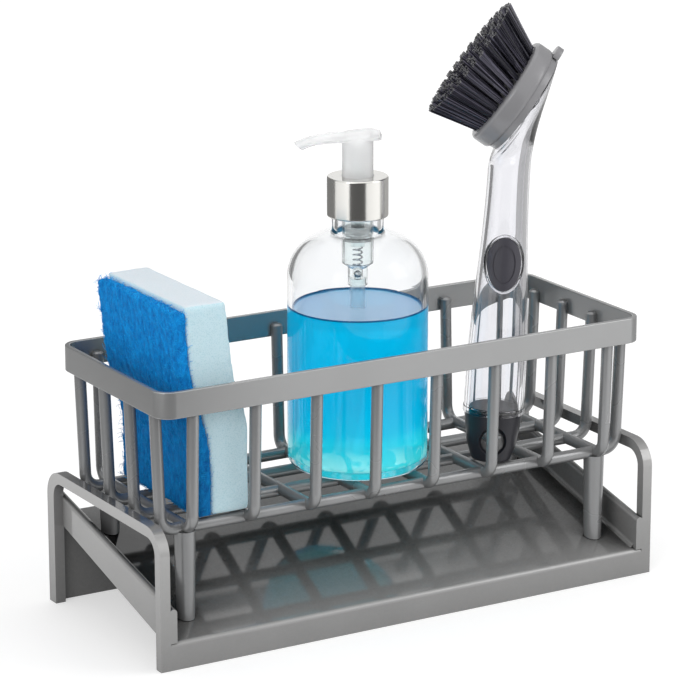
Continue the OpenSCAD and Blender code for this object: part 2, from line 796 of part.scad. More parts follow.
module brush_handle() color("aliceblue", 0.4) at_brush() difference() {
    union() {
        grip_shell(0, handle_wall, cap_h + snug, handle_h);
        // Flared ring at the foot
        translate([0, 0, cap_h + snug]) rotate_extrude()
            translate([grip_r - handle_wall / 2, 0]) square([handle_wall / 2 + ring_out, ring_h]);
        // Raised rim round the button
        intersection() {
            button_prism(button_w + button_rim + loose, button_h + button_rim + loose);
            grip_shell(button_proud, handle_wall / 2, button_z - 2 * button_h, button_z + 2 * button_h);
        }
    }
    button_prism(button_w + loose, button_h + loose);
}

// The handle's upper end, which opens out to the tilted mouth that carries the head
// and ends in the spigot that the head pushes onto
module brush_neck() color("aliceblue", 0.4) at_brush() {
    neck_steps = 12;
    spigot_top = -plate_t - seat_gap;
    skin(concat(
        [for (i = [0:neck_steps]) neck_ring(i / neck_steps, 0)],
        [mouth_ring(spigot_r - loose, -mouth_depth), mouth_ring(spigot_r - loose, spigot_top)],
        [mouth_ring(spigot_r - spigot_wall, spigot_top)],
        [for (i = [neck_steps:-1:0]) neck_ring(i / neck_steps, handle_wall)]
    ), looped = true);
}

module brush_button() color("darkslategray") at_brush() difference() {
    intersection() {
        button_prism(button_w, button_h);
        grip_shell(button_proud, handle_wall + button_rim,
            button_z - 2 * button_h, button_z + 2 * button_h);
    }
    // Shallow oval dish in its face
    intersection() {
        button_prism(button_w * 0.66, button_h * 0.72);
        grip_shell(2 * button_proud, button_dish - button_proud,
            button_z - 2 * button_h, button_z + 2 * button_h);
    }
}

cap_plug_h = 3.2;
flare_share = 0.6;
seal_r = 1;
seal_z = cap_h + cap_plug_h / 2;
plug_r = grip_r - handle_wall - running;

module brush_end_cap() color("darkslategray") at_brush() difference() {
    rotate_extrude() difference() {
        union() {
            polygon(concat(
                [[0, 0]],
                arc([cap_foot_r - cap_edge_r, cap_edge_r], cap_edge_r, -90, -20, 5),
                [[cap_foot_r + (grip_r - cap_foot_r) * 0.48, cap_h * 0.36],
                    [grip_r - ring_out, cap_h], [0, cap_h]]
            ));
            translate([0, cap_h]) square([plug_r, cap_plug_h]);
        }
        // Groove of the seal
        translate([plug_r, seal_z]) circle(seal_r, $fn = 32);
    }
    translate([0, 0, hang_z]) rotate([90, 0, 0]) {
        cylinder(r = hang_r, h = 4 * grip_r, center = true);
        // Flared mouths of the hanging hole
        for (side = [0, 1]) mirror([0, 0, side]) translate([0, 0, hang_l / 2])
            cylinder(r1 = hang_r, r2 = hang_r + flare_share * grip_r, h = grip_r);
    }
}

module cap_seal() color("black") at_brush() translate([0, 0, seal_z])
    rotate_extrude() translate([plug_r - seal_r / 2, 0]) circle(seal_r / 2 + running / 2, $fn = 32);

// The brush head, drawn with its front face at z = 0 and its bristles along +Z

backing_t = 1.5;
valve_bore_r = 3.2;
valve_flange_r = 5.2;
valve_flange_t = 1.2;
plate_edge_r = 1.2;
collar_step = 1.4;
tab_t = 3.2;
tab_r = 6;

module brush_head() color("dimgray") at_brush() at_head() {
    difference() {
        union() {
            rotate_extrude() polygon(concat(
                [[valve_bore_r, 0]],
                arc([plate_r - plate_edge_r, -plate_edge_r], plate_edge_r, 90, 0, 5),
                [[plate_r, plate_edge_r - plate_t], [plate_r - plate_edge_r, -plate_t]],
                [[plate_r - collar_step, -plate_t], [plate_r - 2 * collar_step, -plate_t - collar_t]],
                [[spigot_r + loose, -plate_t - collar_t], [spigot_r + loose, -plate_t],
                    [valve_bore_r, -plate_t]]
            ));
            // Release tab
            translate([0, 0, -plate_t - tab_t / 2]) linear_extrude(tab_t) {
                translate([spigot_r + collar_step, -tab_r])
                    square([tab_reach - spigot_r - collar_step - tab_r, 2 * tab_r]);
                translate([tab_reach - tab_r, 0]) circle(tab_r);
            }
        }
        // Recess of the bristle backing, and room for the handle's mouth behind the tab
        translate([0, 0, -backing_t]) cylinder(r = field_r + running + loose, h = backing_t + over);
        translate([0, 0, -plate_t - collar_t]) cylinder(r = spigot_r + loose, h = collar_t);
    }
}

module soap_valve() color("whitesmoke") at_brush() at_head() rotate_extrude() difference() {
    union() {
        translate([0, -plate_t - valve_flange_t]) square([valve_flange_r, valve_flange_t]);
        translate([0, -plate_t]) square([valve_bore_r - snug, plate_t - backing_t]);
    }
    // Pocket under the valve's lips
    translate([0, -plate_t - valve_flange_t - over])
        square([valve_bore_r / 2, plate_t - backing_t]);
}

// Bristles stand on every other triangle of a net whose rings count six more points each
field_rings = 22;
hole_rings = 3;
net = 2 * field_rings + 1;

function ring_of(q, r) = max(abs(q), abs(r), abs(q + r));
function net_point(q, r) = let (
    k = ring_of(q, r),
    x = q + r / 2,
    y = r * sqrt(3) / 2,
    turn = (atan2(y, x) + 360) % 360,
    sector = floor(turn / 60 + 0.0001),
    part = turn - 60 * sector,
    share = k == 0 ? 0 : sin(part) / (sin(part) + sin(60 - part)),
    a = 60 * (sector + share)
) field_r * k / field_rings * [cos(a), sin(a)];
function net_index(q, r) = (q + field_rings) * net + r + field_rings;

module brush_bristles() color("black") at_brush() at_head() {
    tip_share = 0.62;
    span = [-field_rings:field_rings];
    flat_points = [for (q = span, r = span) net_point(q, r)];
    // Triangles of the net as axial corners, pointing one way or the other
    corners = [for (q = [-field_rings:field_rings - 1], r = [-field_rings:field_rings - 1])
        each [[[q, r], [q + 1, r], [q, r + 1]], [[q + 1, r], [q + 1, r + 1], [q, r + 1]]]];
    net_triangles = [for (c = corners) let (rings = [for (p = c) ring_of(p[0], p[1])])
        if (max(rings) <= field_rings && min(rings) >= hole_rings) c];
    roots = [for (c = net_triangles)
        if (c[0][0] % 2 == 0 && c[0][1] % 2 == 0 && c[1][1] == c[0][1]) c];
    flats = [for (c = net_triangles)
        if (!(c[0][0] % 2 == 0 && c[0][1] % 2 == 0 && c[1][1] == c[0][1])) c];
    tips = [for (c = roots) let (
        base = [for (p = c) net_point(p[0], p[1])],
        middle = (base[0] + base[1] + base[2]) / 3,
        slope = tan(bristle_splay) * middle / field_r + [tan(bristle_lean), 0],
        rise = [slope[0], slope[1], 1] * bristle_l / norm([slope[0], slope[1], 1])
    ) for (p = base) let (tip = middle + (p - middle) * tip_share) [tip[0], tip[1], 0] + rise];
    // Rims of the backing underneath, at the outer and the inner edge
    outer_count = 6 * field_rings;
    inner_count = 6 * hole_rings;
    outer_rim = [for (i = [0:outer_count - 1]) field_r * [cos(360 * i / outer_count), sin(360 * i / outer_count)]];
    inner_rim = [for (i = [0:inner_count - 1])
        field_r * hole_rings / field_rings * [cos(360 * i / inner_count), sin(360 * i / inner_count)]];
    tip_start = len(flat_points);
    outer_start = tip_start + len(tips);
    inner_start = outer_start + outer_count;
    points = concat(
        [for (p = flat_points) [p[0], p[1], 0]],
        tips,
        [for (p = outer_rim) [p[0], p[1], -backing_t]],
        [for (p = inner_rim) [p[0], p[1], -backing_t]]
    );
    faces = concat(
        [for (c = flats) [for (i = [2:-1:0]) net_index(c[i][0], c[i][1])]],
        [for (n = [0:len(roots) - 1]) let (c = roots[n], t = tip_start + 3 * n,
            b = [for (p = c) net_index(p[0], p[1])])
            each [[t + 2, t + 1, t],
                for (i = [0:2]) each [[b[i], t + i, b[(i + 1) % 3]],
                    [b[(i + 1) % 3], t + i, t + (i + 1) % 3]]]],
        [for (i = [0:outer_count - 1]) let (k = (i + 1) % outer_count,
            a = net_ring_index(field_rings, i), b = net_ring_index(field_rings, k))
            each [[a, b, outer_start + i], [b, outer_start + k, outer_start + i]]],
        [for (i = [0:inner_count - 1]) let (k = (i + 1) % inner_count,
            a = net_ring_index(hole_rings, i), b = net_ring_index(hole_rings, k))
            each [[b, a, inner_start + i], [inner_start + k, b, inner_start + i]]],
        [for (i = [0:outer_count - 1]) let (
            k = (i + 1) % outer_count,
            here = floor(i * inner_count / outer_count),
            next = floor((i + 1) * inner_count / outer_count))
            each concat(
                [[outer_start + i, outer_start + k, inner_start + here]],
                next > here ? [[outer_start + k, inner_start + next % inner_count, inner_start + here]] : []
            )]
    );
    polyhedron(points = points, faces = faces);
}

// Index of the net's point number i on ring k, counted round from the first axis
function net_ring_index(k, i) = let (
    sector = floor(i / k), part = i - sector * k,
    corner = [[k, 0], [0, k], [-k, k], [-k, 0], [0, -k], [k, -k]][sector],
    along = [[-1, 1], [-1, 0], [0, -1], [1, -1], [1, 0], [0, 1]][sector],
    p = corner + part * along
) net_index(p[0], p[1]);

drain_tray();
rim_band();
for (i = [1:cross_count]) cross_wire(i);
for (i = [1:long_count]) long_wire(i);
leg(1, 1);  // leg_front_left
leg(cross_count, 1);  // leg_front_right
leg(1, long_count);  // leg_back_left
leg(cross_count, long_count);  // leg_back_right
bottle();
soap();
collar();
closure_insert();
neck_gasket();
pump_housing();
inlet_ball();
return_spring();
plunger_stem();
piston();
spout_head();
dip_tube();
scour_pad();
foam();
brush_handle();
brush_neck();
brush_button();
brush_end_cap();
cap_seal();
brush_head();
soap_valve();
brush_bristles();
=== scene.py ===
import bpy
import bmesh
import json
import math
import random
from mathutils import Matrix, Vector, noise


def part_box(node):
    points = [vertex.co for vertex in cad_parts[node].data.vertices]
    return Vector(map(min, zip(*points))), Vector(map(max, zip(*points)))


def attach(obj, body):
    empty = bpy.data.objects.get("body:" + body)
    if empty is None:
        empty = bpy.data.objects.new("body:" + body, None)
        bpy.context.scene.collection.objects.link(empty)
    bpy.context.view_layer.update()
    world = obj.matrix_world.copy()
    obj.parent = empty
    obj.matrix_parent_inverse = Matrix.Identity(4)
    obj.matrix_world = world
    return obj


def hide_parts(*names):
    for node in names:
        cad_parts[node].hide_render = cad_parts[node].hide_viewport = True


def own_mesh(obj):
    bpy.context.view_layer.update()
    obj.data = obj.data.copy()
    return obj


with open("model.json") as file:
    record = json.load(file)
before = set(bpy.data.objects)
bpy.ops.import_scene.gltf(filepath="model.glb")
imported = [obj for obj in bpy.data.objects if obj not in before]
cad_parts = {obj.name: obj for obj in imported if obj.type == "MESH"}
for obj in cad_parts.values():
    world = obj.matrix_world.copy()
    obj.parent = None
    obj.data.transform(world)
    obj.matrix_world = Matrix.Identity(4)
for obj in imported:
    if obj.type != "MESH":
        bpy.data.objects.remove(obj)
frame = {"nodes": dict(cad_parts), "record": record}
nodes = frame["nodes"]
scene = bpy.context.scene
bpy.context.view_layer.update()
mm = 0.001
samePoint = 0.0001 * mm
solidWeld = 0.002 * mm
print("frame loaded,", len(nodes), "solids")


# The camera stands where the photograph was taken, with a long lens
camera = {
    "place": (-0.89785, -1.50283, 0.62148),
    "turn": (74.37, 0.0, -30.80),
    "lens": 177.0,
    "sensor": 36.0,
}


def addCamera():
    data = bpy.data.cameras.new("photoCamera")
    data.lens = camera["lens"]
    data.sensor_width = camera["sensor"]
    data.clip_end = 50
    eye = bpy.data.objects.new("photoCamera", data)
    eye.location = camera["place"]
    eye.rotation_euler = [math.radians(angle) for angle in camera["turn"]]
    scene.collection.objects.link(eye)
    scene.camera = eye


addCamera()


# Shader helpers; an input that is given another node's socket is linked to it, any other is set
def feed(tree, sockets, values):
    for name, value in values.items():
        if isinstance(value, bpy.types.NodeSocket):
            tree.links.new(value, sockets[name])
        else:
            sockets[name].default_value = value


def addNode(tree, kind, inputs=None, **settings):
    node = tree.nodes.new(kind)
    for name, value in settings.items():
        setattr(node, name, value)
    feed(tree, node.inputs, inputs or {})
    return node


def calculate(tree, operation, *values):
    return addNode(tree, "ShaderNodeMath", dict(enumerate(values)), operation=operation).outputs[0]


def vectorNode(tree, operation, *values):
    inputs = dict(enumerate(values))
    return addNode(tree, "ShaderNodeVectorMath", inputs, operation=operation).outputs


def heightOf(tree, vector):
    return addNode(tree, "ShaderNodeSeparateXYZ", {0: vector}).outputs["Z"]


def rescaled(tree, value, fromMin=0.0, fromMax=1.0, toMin=0.0, toMax=1.0):
    ends = {"From Min": fromMin, "From Max": fromMax, "To Min": toMin, "To Max": toMax}
    return addNode(tree, "ShaderNodeMapRange", {"Value": value, **ends}).outputs["Result"]


def shaded(tree, colour, level):
    inputs = {0: colour, "Scale": level}
    return addNode(tree, "ShaderNodeVectorMath", inputs, operation="SCALE").outputs[0]


def mixed(tree, share, first, second):
    inputs = {"Factor": share, "A": first, "B": second}
    return addNode(tree, "ShaderNodeMix", inputs, data_type="RGBA").outputs["Result"]


def newGroup(name, takes, gives):
    # A starting value of one number, of three or of four makes a value, a vector or a colour
    kinds = {1: "NodeSocketFloat", 3: "NodeSocketVector", 4: "NodeSocketColor"}
    group = bpy.data.node_groups.new(name, "ShaderNodeTree")
    for label, start in takes.items():
        count = len(start) if isinstance(start, tuple) else 1
        socket = group.interface.new_socket(label, in_out="INPUT", socket_type=kinds[count])
        socket.default_value = start
    for label in gives:
        kind = "NodeSocketColor" if label == "Colour" else "NodeSocketFloat"
        group.interface.new_socket(label, in_out="OUTPUT", socket_type=kind)
    given = addNode(group, "NodeGroupInput").outputs
    return group, given, addNode(group, "NodeGroupOutput").inputs


def makeSkinGroup():
    # Slow drift of tone, a fine grain, unevenness in the gloss, and shade in corners and on top
    group, takes, gives = newGroup("mouldedSkin", {
        "Colour": (0.5, 0.5, 0.5, 1),
        "Drift Scale": 25.0,
        "Drift": 0.05,
        "Grain Scale": 900.0,
        "Roughness": 0.3,
        "Unevenness": 0.05,
        "Corner Shade": 0.0,
        "Upward Shade": 0.0,
    }, ("Colour", "Roughness", "Height"))
    place = addNode(group, "ShaderNodeTexCoord").outputs
    drift = addNode(group, "ShaderNodeTexNoise", {
        "Vector": place["Object"], "Scale": takes["Drift Scale"], "Detail": 3.0,
    })
    swing = calculate(group, "SUBTRACT", drift.outputs["Fac"], 0.5)
    drifted = calculate(group, "MULTIPLY_ADD", swing, takes["Drift"], 1.0)
    corners = addNode(group, "ShaderNodeAmbientOcclusion", {"Distance": 0.1}, samples=12)
    dark = calculate(group, "SUBTRACT", 1.0, corners.outputs["AO"])
    cornerShade = calculate(group, "MULTIPLY", dark, takes["Corner Shade"])
    upward = rescaled(group, heightOf(group, place["Normal"]), 0.5, 0.9)
    topShade = calculate(group, "MULTIPLY", upward, takes["Upward Shade"])
    level = calculate(group, "SUBTRACT", drifted, cornerShade)
    level = calculate(group, "SUBTRACT", level, topShade)
    grain = addNode(group, "ShaderNodeTexNoise", {
        "Vector": place["Object"], "Scale": takes["Grain Scale"], "Detail": 4.0, "Roughness": 0.6,
    })
    feed(group, gives, {
        "Colour": shaded(group, takes["Colour"], level),
        "Roughness": calculate(group, "MULTIPLY_ADD", swing, takes["Unevenness"], takes["Roughness"]),
        "Height": grain.outputs["Fac"],
    })
    return group


def makeFoamGroup():
    # Open cells of two sizes, darker inside with painted shade
    group, takes, gives = newGroup("openCells", {
        "Colour": (0.6, 0.8, 0.85, 1),
        "Pore Shade Colour": (0.4, 0.6, 0.7, 1),
        "Cell Scale": 1100.0,
    }, ("Colour", "Height"))
    place = addNode(group, "ShaderNodeTexCoord").outputs["Object"]
    fine = takes["Cell Scale"]
    small, large = [
        addNode(group, "ShaderNodeTexVoronoi", {"Vector": place, "Scale": scale, "Randomness": 1.0})
        for scale in (fine, calculate(group, "MULTIPLY", fine, 0.36))
    ]
    pit = rescaled(group, small.outputs["Distance"], 0.1, 0.5)
    hollow = rescaled(group, large.outputs["Distance"], 0.08, 0.24)
    both = calculate(group, "MULTIPLY", pit, hollow)
    feed(group, gives, {
        "Colour": mixed(group, both, takes["Pore Shade Colour"], takes["Colour"]), "Height": both,
    })
    return group


def makeFibreGroup():
    # Matted fibres: streaks between dark gaps and pale strands, and painted shade that darkens them
    # towards the foot
    group, takes, gives = newGroup("mattedFibre", {
        "Deep Colour": (0.01, 0.1, 0.35, 1),
        "Pale Colour": (0.03, 0.3, 0.7, 1),
        "Streak Scale": 330.0,
        "Shaded Foot": 0.07,
        "Unshaded Height": 0.16,
    }, ("Colour", "Height"))
    place = addNode(group, "ShaderNodeTexCoord").outputs["Object"]
    stretch = addNode(group, "ShaderNodeMapping", {"Vector": place, "Scale": (1.0, 1.0, 0.5)})
    streaks = addNode(group, "ShaderNodeTexNoise", {
        "Vector": stretch.outputs["Vector"], "Scale": takes["Streak Scale"],
        "Detail": 8.0, "Roughness": 0.75, "Distortion": 0.15,
    })
    fibre = rescaled(group, streaks.outputs["Fac"], 0.34, 0.66)
    colour = mixed(group, fibre, takes["Deep Colour"], takes["Pale Colour"])
    # Painted shade: the colour darkens to 0.7 at the foot and is full from the unshaded height up
    footShade = rescaled(group, heightOf(group, place), takes["Shaded Foot"], takes["Unshaded Height"], 0.7, 1.0)
    feed(group, gives, {"Colour": shaded(group, colour, footShade), "Height": fibre})
    return group


def makeTurnedGroup():
    # Hair lines that run round an upright axis, as polishing leaves them
    group, takes, gives = newGroup("polishingLines", {
        "Colour": (0.7, 0.7, 0.68, 1),
        "Axis": (0, 0, 0),
        "Line Scale": 4000.0,
        "Roughness": 0.2,
    }, ("Colour", "Roughness", "Height"))
    place = addNode(group, "ShaderNodeTexCoord").outputs["Object"]
    centred = vectorNode(group, "SUBTRACT", place, takes["Axis"])[0]
    flat = vectorNode(group, "MULTIPLY", centred, (1, 1, 0))[0]
    radius = vectorNode(group, "LENGTH", flat)["Value"]
    along = calculate(group, "ADD", heightOf(group, centred), radius)
    lines = addNode(group, "ShaderNodeTexNoise", {
        "W": along, "Scale": takes["Line Scale"], "Detail": 3.0,
    }, noise_dimensions="1D").outputs["Fac"]
    shade = rescaled(group, lines, toMin=0.92, toMax=1.06)
    feed(group, gives, {
        "Colour": shaded(group, takes["Colour"], shade),
        "Roughness": calculate(group, "MULTIPLY", shade, takes["Roughness"]),
        "Height": lines,
    })
    return group


skinGroup = makeSkinGroup()
foamGroup = makeFoamGroup()
fibreGroup = makeFibreGroup()
turnedGroup = makeTurnedGroup()
print("shader groups built")


def newFinish(name, **shader):
    material = bpy.data.materials.new(name)
    material.use_nodes = True
    tree = material.node_tree
    principled = tree.nodes["Principled BSDF"].inputs
    feed(tree, principled, {key.replace("_", " "): value for key, value in shader.items()})
    return material, tree, principled


def addBump(tree, principled, height, strength, distance):
    bump = addNode(tree, "ShaderNodeBump", {
        "Height": height, "Strength": strength, "Distance": distance,
    })
    feed(tree, principled, {"Normal": bump.outputs["Normal"]})


def skinFinish(
    name, colour, roughness, drift=0.08, grain=900.0, bump=0.12, shade=0.0, topShade=0.0, **shader
):
    material, tree, principled = newFinish(name, **shader)
    skin = addNode(tree, "ShaderNodeGroup", {
        "Colour": (*colour, 1), "Roughness": roughness, "Drift": drift, "Grain Scale": grain,
        "Corner Shade": shade, "Upward Shade": topShade,
    }, node_tree=skinGroup).outputs
    feed(tree, principled, {"Base Color": skin["Colour"], "Roughness": skin["Roughness"]})
    addBump(tree, principled, skin["Height"], bump, 0.1 * mm)
    return material


def clearFinish(name, colour, ior, roughness=0.0):
    return newFinish(
        name, Transmission_Weight=1.0, IOR=ior, Roughness=roughness, Base_Color=(*colour, 1),
    )[0]


def milkyFinish(name, colour, transmission):
    # The faint white emission is painted light that lifts these milky parts where they lie in shade
    return newFinish(
        name, Transmission_Weight=transmission, IOR=1.25, Roughness=0.22, Subsurface_Weight=0.5,
        Subsurface_Radius=(1, 1, 1), Subsurface_Scale=3 * mm, Emission_Color=(1, 1, 1, 1),
        Emission_Strength=0.05, Base_Color=(*colour, 1),
    )[0]


soapLook = {
    "footLightRamp": ((0.0, (0.06, 0.84, 0.84)), (0.12, (0.02, 0.7, 0.82)), (0.26, (0.001, 0.48, 0.77))),
    "fleck": (0.36, 1.0, 0.98, 1),
    "paintedTopReflection": (0.30, 0.45, 0.62, 1),
    "paintedEdgeShade": (0.0, 0.24, 0.52, 1),
    "meniscus": (0.0, 0.09, 0.22, 1),
    "meniscusFrom": 0.15 * mm,
    "meniscusTo": 0.4 * mm,
}


def soapFinish(foot, level):
    # Cloudy cyan that pales towards the foot as painted light, with a painted lavender reflection on the
    # top surface, and a glow of its own colour that is painted light too
    look = soapLook
    # The emission is painted light: the soap glows with its own colour
    material, tree, principled = newFinish(
        "cyanSoap", Transmission_Weight=0.45, IOR=1.3, Roughness=0.0, Emission_Strength=0.3,
    )
    place = addNode(tree, "ShaderNodeTexCoord").outputs
    height = heightOf(tree, place["Object"])
    share = rescaled(tree, height, foot, level)
    # Painted light: the ramp pales the colour towards the foot
    depth = addNode(tree, "ShaderNodeValToRGB", {"Fac": share})
    stops = depth.color_ramp.elements
    stops.new(0.5)
    for (position, colour), stop in zip(look["footLightRamp"], stops):
        stop.position = position
        stop.color = (*colour, 1)
    # Bright flecks of gathered light close to the foot
    flecks = addNode(tree, "ShaderNodeTexNoise", {
        "Vector": place["Object"], "Scale": 95.0, "Detail": 1.0, "Distortion": 1.2,
    })
    bright = rescaled(tree, flecks.outputs["Fac"], 0.5, 0.6)
    low = rescaled(tree, share, 0.02, 0.17, 1.0, 0.0)
    fleckShare = calculate(tree, "MULTIPLY", bright, low)
    colour = mixed(tree, fleckShare, depth.outputs["Color"], look["fleck"])
    # Painted reflection: the upward faces take a lavender tint
    paintedTopReflection = rescaled(tree, heightOf(tree, place["Normal"]), 0.85, 0.99)
    colour = mixed(tree, paintedTopReflection, colour, look["paintedTopReflection"])
    # Painted shade: deeper blue where the side turns away, and a navy line along the meniscus
    away = addNode(tree, "ShaderNodeLayerWeight", {"Blend": 0.5})
    turned = rescaled(tree, away.outputs["Facing"], 0.6, 0.95, toMax=0.8)
    side = calculate(tree, "SUBTRACT", 1.0, paintedTopReflection)
    colour = mixed(tree, calculate(tree, "MULTIPLY", side, turned), colour, look["paintedEdgeShade"])
    edge = rescaled(tree, height, level + look["meniscusFrom"], level + look["meniscusTo"])
    colour = mixed(tree, edge, colour, look["meniscus"])
    feed(tree, principled, {"Base Color": colour, "Emission Color": colour})
    return material


def foamFinish():
    material, tree, principled = newFinish(
        "foamCells", Roughness=0.85, Subsurface_Weight=0.25, Subsurface_Radius=(0.6, 0.9, 1.0),
        Subsurface_Scale=4 * mm,
    )
    # The pore shade colour is painted shade inside the cells
    cells = addNode(tree, "ShaderNodeGroup", {
        "Colour": (0.60, 0.79, 0.86, 1), "Pore Shade Colour": (0.47, 0.70, 0.78, 1), "Cell Scale": 1300.0,
    }, node_tree=foamGroup).outputs
    # The upward faces are painted paler, as painted light from above
    facing = heightOf(tree, addNode(tree, "ShaderNodeTexCoord").outputs["Normal"])
    top = rescaled(tree, facing, 0.75, 0.95, toMax=0.6)
    paintedTopLight = mixed(tree, top, cells["Colour"], (0.85, 0.85, 0.9, 1))
    feed(tree, principled, {"Base Color": paintedTopLight})
    addBump(tree, principled, cells["Height"], 0.35, 0.3 * mm)
    return material


def fibreFinish(name, deep, pale):
    material, tree, principled = newFinish(name, Roughness=0.7, Specular_IOR_Level=0.15)
    fibres = addNode(tree, "ShaderNodeGroup", {
        "Deep Colour": (*deep, 1), "Pale Colour": (*pale, 1),
    }, node_tree=fibreGroup).outputs
    feed(tree, principled, {"Base Color": fibres["Colour"]})
    addBump(tree, principled, fibres["Height"], 0.5, 0.4 * mm)
    return material


bristleShades = {
    "side": ((0.016, 0.016, 0.024, 1), (0.2, 0.19, 0.25, 1)),
    "cutEnd": ((0.02, 0.02, 0.022, 1), (0.42, 0.42, 0.42, 1)),
}


def bristleFinish():
    # Navy filaments, no two of one shade, whose trimmed ends catch the light
    material, tree, principled = newFinish("navyBristle", Roughness=0.26)
    along, tone = [
        addNode(tree, "ShaderNodeAttribute", attribute_name=name).outputs["Fac"]
        for name in ("alongFilament", "filamentTone")
    ]
    pale = rescaled(tree, tone, 0.35)
    side = mixed(tree, pale, *bristleShades["side"])
    cutEnd = mixed(tree, pale, *bristleShades["cutEnd"])
    ends = rescaled(tree, along, 0.96, 0.985)
    feed(tree, principled, {"Base Color": mixed(tree, ends, side, cutEnd)})
    return material


def nickelFinish(axis):
    material, tree, principled = newFinish("polishedNickel", Metallic=1.0, Anisotropic=0.3)
    lines = addNode(tree, "ShaderNodeGroup", {
        "Colour": (0.72, 0.71, 0.68, 1), "Axis": axis, "Roughness": 0.17,
    }, node_tree=turnedGroup).outputs
    feed(tree, principled, {"Base Color": lines["Colour"], "Roughness": lines["Roughness"]})
    addBump(tree, principled, lines["Height"], 0.05, 0.02 * mm)
    return material


finishes = {
    "tray": skinFinish(
        "glossyGreyTray", (0.455, 0.452, 0.447), 0.08, drift=0.12, bump=0.02, grain=500.0,
        shade=1.0, topShade=0.34, Specular_IOR_Level=0.7,
    ),
    "basket": skinFinish(
        "satinGreyBasket", (0.35, 0.353, 0.353), 0.26, shade=0.3, drift=0.14, bump=0.05,
        Metallic=0.55,
    ),
    # The wires get a darker copy of the basket's grey paint, as painted shade
    "wire": skinFinish(
        "shadedSatinGreyWire", (0.31, 0.313, 0.316), 0.27, shade=0.45, drift=0.14, bump=0.05,
        Metallic=0.42,
    ),
    "glass": clearFinish("bottleGlass", (0.94, 0.946, 0.952), 1.2),
    "clearHandle": clearFinish("clearHandle", (0.90, 0.90, 0.92), 1.4),
    "pumpPlastic": clearFinish("frostedPump", (0.93, 0.965, 0.965), 1.15, roughness=0.2),
    "dipTube": clearFinish("milkyTube", (0.90, 0.95, 0.96), 1.05, roughness=0.3),
    "spout": milkyFinish("milkySpout", (0.905, 0.908, 0.912), 0.6),
    "insert": milkyFinish("insertPlastic", (0.93, 0.93, 0.93), 0.1),
    "steel": skinFinish("brightSteel", (0.45, 0.46, 0.48), 0.2, bump=0.02, Metallic=1.0),
    "rubber": skinFinish("darkButtonRubber", (0.045, 0.043, 0.056), 0.42, bump=0.1),
    "cap": skinFinish(
        "darkCapPlastic", (0.024, 0.024, 0.03), 0.34, bump=0.03, Specular_IOR_Level=0.3
    ),
    "headPlastic": skinFinish("greyHeadPlastic", (0.25, 0.248, 0.258), 0.24, bump=0.05),
    "bristle": bristleFinish(),
    "silicone": skinFinish("valveSilicone", (0.7, 0.72, 0.73), 0.35, bump=0.03),
    "seal": skinFinish("sealRubber", (0.02, 0.02, 0.02), 0.5, bump=0.05),
    "foam": foamFinish(),
    "pad": fibreFinish("scouringPad", (0.001, 0.13, 0.45), (0.003, 0.34, 0.86)),
    "strand": fibreFinish("scouringStrand", (0.002, 0.22, 0.62), (0.02, 0.52, 1.0)),
}
print("finishes built,", len(finishes))


# Shape helpers
def arcPoints(centreR, centreZ, radius, start, end, count):
    angles = [math.radians(start + (end - start) * i / count) for i in range(count + 1)]
    return [(centreR + radius * math.cos(a), centreZ + radius * math.sin(a)) for a in angles]


def turnedMesh(profile, centre, steps, closed=True):
    mesh = bmesh.new()
    verts = [mesh.verts.new((r, 0, z)) for r, z in profile]
    pairs = list(zip(verts, verts[1:])) + ([(verts[-1], verts[0])] if closed else [])
    edges = [mesh.edges.new(pair) for pair in pairs]
    bmesh.ops.spin(
        mesh, geom=verts + edges, cent=(0, 0, 0), axis=(0, 0, 1),
        angle=2 * math.pi, steps=steps, use_merge=True,
    )
    bmesh.ops.remove_doubles(mesh, verts=mesh.verts, dist=samePoint)
    bmesh.ops.recalc_face_normals(mesh, faces=mesh.faces)
    bmesh.ops.translate(mesh, vec=centre, verts=mesh.verts)
    return mesh


def loftedMesh(rings):
    # A closed wall: each ring is bridged to the next, and the last to the first
    mesh = bmesh.new()
    loops = []
    for ring in rings:
        made = bmesh.ops.create_circle(mesh, segments=len(ring), radius=1.0)["verts"]
        loops.append({edge for vert in made for edge in vert.link_edges})
        for vert, place in zip(made, ring):
            vert.co = place
    for one, other in zip(loops, loops[1:] + loops[:1]):
        bmesh.ops.bridge_loops(mesh, edges=list(one) + list(other))
    bmesh.ops.recalc_face_normals(mesh, faces=mesh.faces)
    return mesh


def roundEdges(mesh, edges, offset, segments):
    bmesh.ops.bevel(
        mesh, geom=edges, offset=offset, offset_type="OFFSET", segments=segments,
        profile=0.5, affect="EDGES", material=-1, clamp_overlap=True,
    )


def pushFace(mesh, face, step):
    grown = bmesh.ops.extrude_face_region(mesh, geom=[face])
    moved = [item for item in grown["geom"] if isinstance(item, bmesh.types.BMVert)]
    bmesh.ops.translate(mesh, vec=step, verts=moved)
    return moved


def newObject(name, mesh):
    data = bpy.data.meshes.new(name)
    mesh.to_mesh(data)
    mesh.free()
    made = bpy.data.objects.new(name, data)
    scene.collection.objects.link(made)
    return made


def smoothShape(piece, sharpAngle):
    piece.data.shade_smooth()
    piece.data.set_sharp_from_angle(angle=math.radians(sharpAngle))


def addPiece(name, mesh, body, finish, replaced=(), sharpAngle=38):
    piece = newObject(name, mesh)
    piece.data.materials.clear()
    piece.data.materials.append(finishes[finish])
    smoothShape(piece, sharpAngle)
    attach(piece, body)
    if replaced:
        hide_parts(*replaced)
    return piece


def dress(nodeName, finish):
    nodes[nodeName].material_slots[0].material = finishes[finish]


def solidCopy(nodeName):
    mesh = bmesh.new()
    mesh.from_mesh(nodes[nodeName].data)
    customNormals = mesh.loops.layers.float_vector.get("custom_normal")
    if customNormals:
        mesh.loops.layers.float_vector.remove(customNormals)
    bmesh.ops.remove_doubles(mesh, verts=mesh.verts, dist=solidWeld)
    return mesh


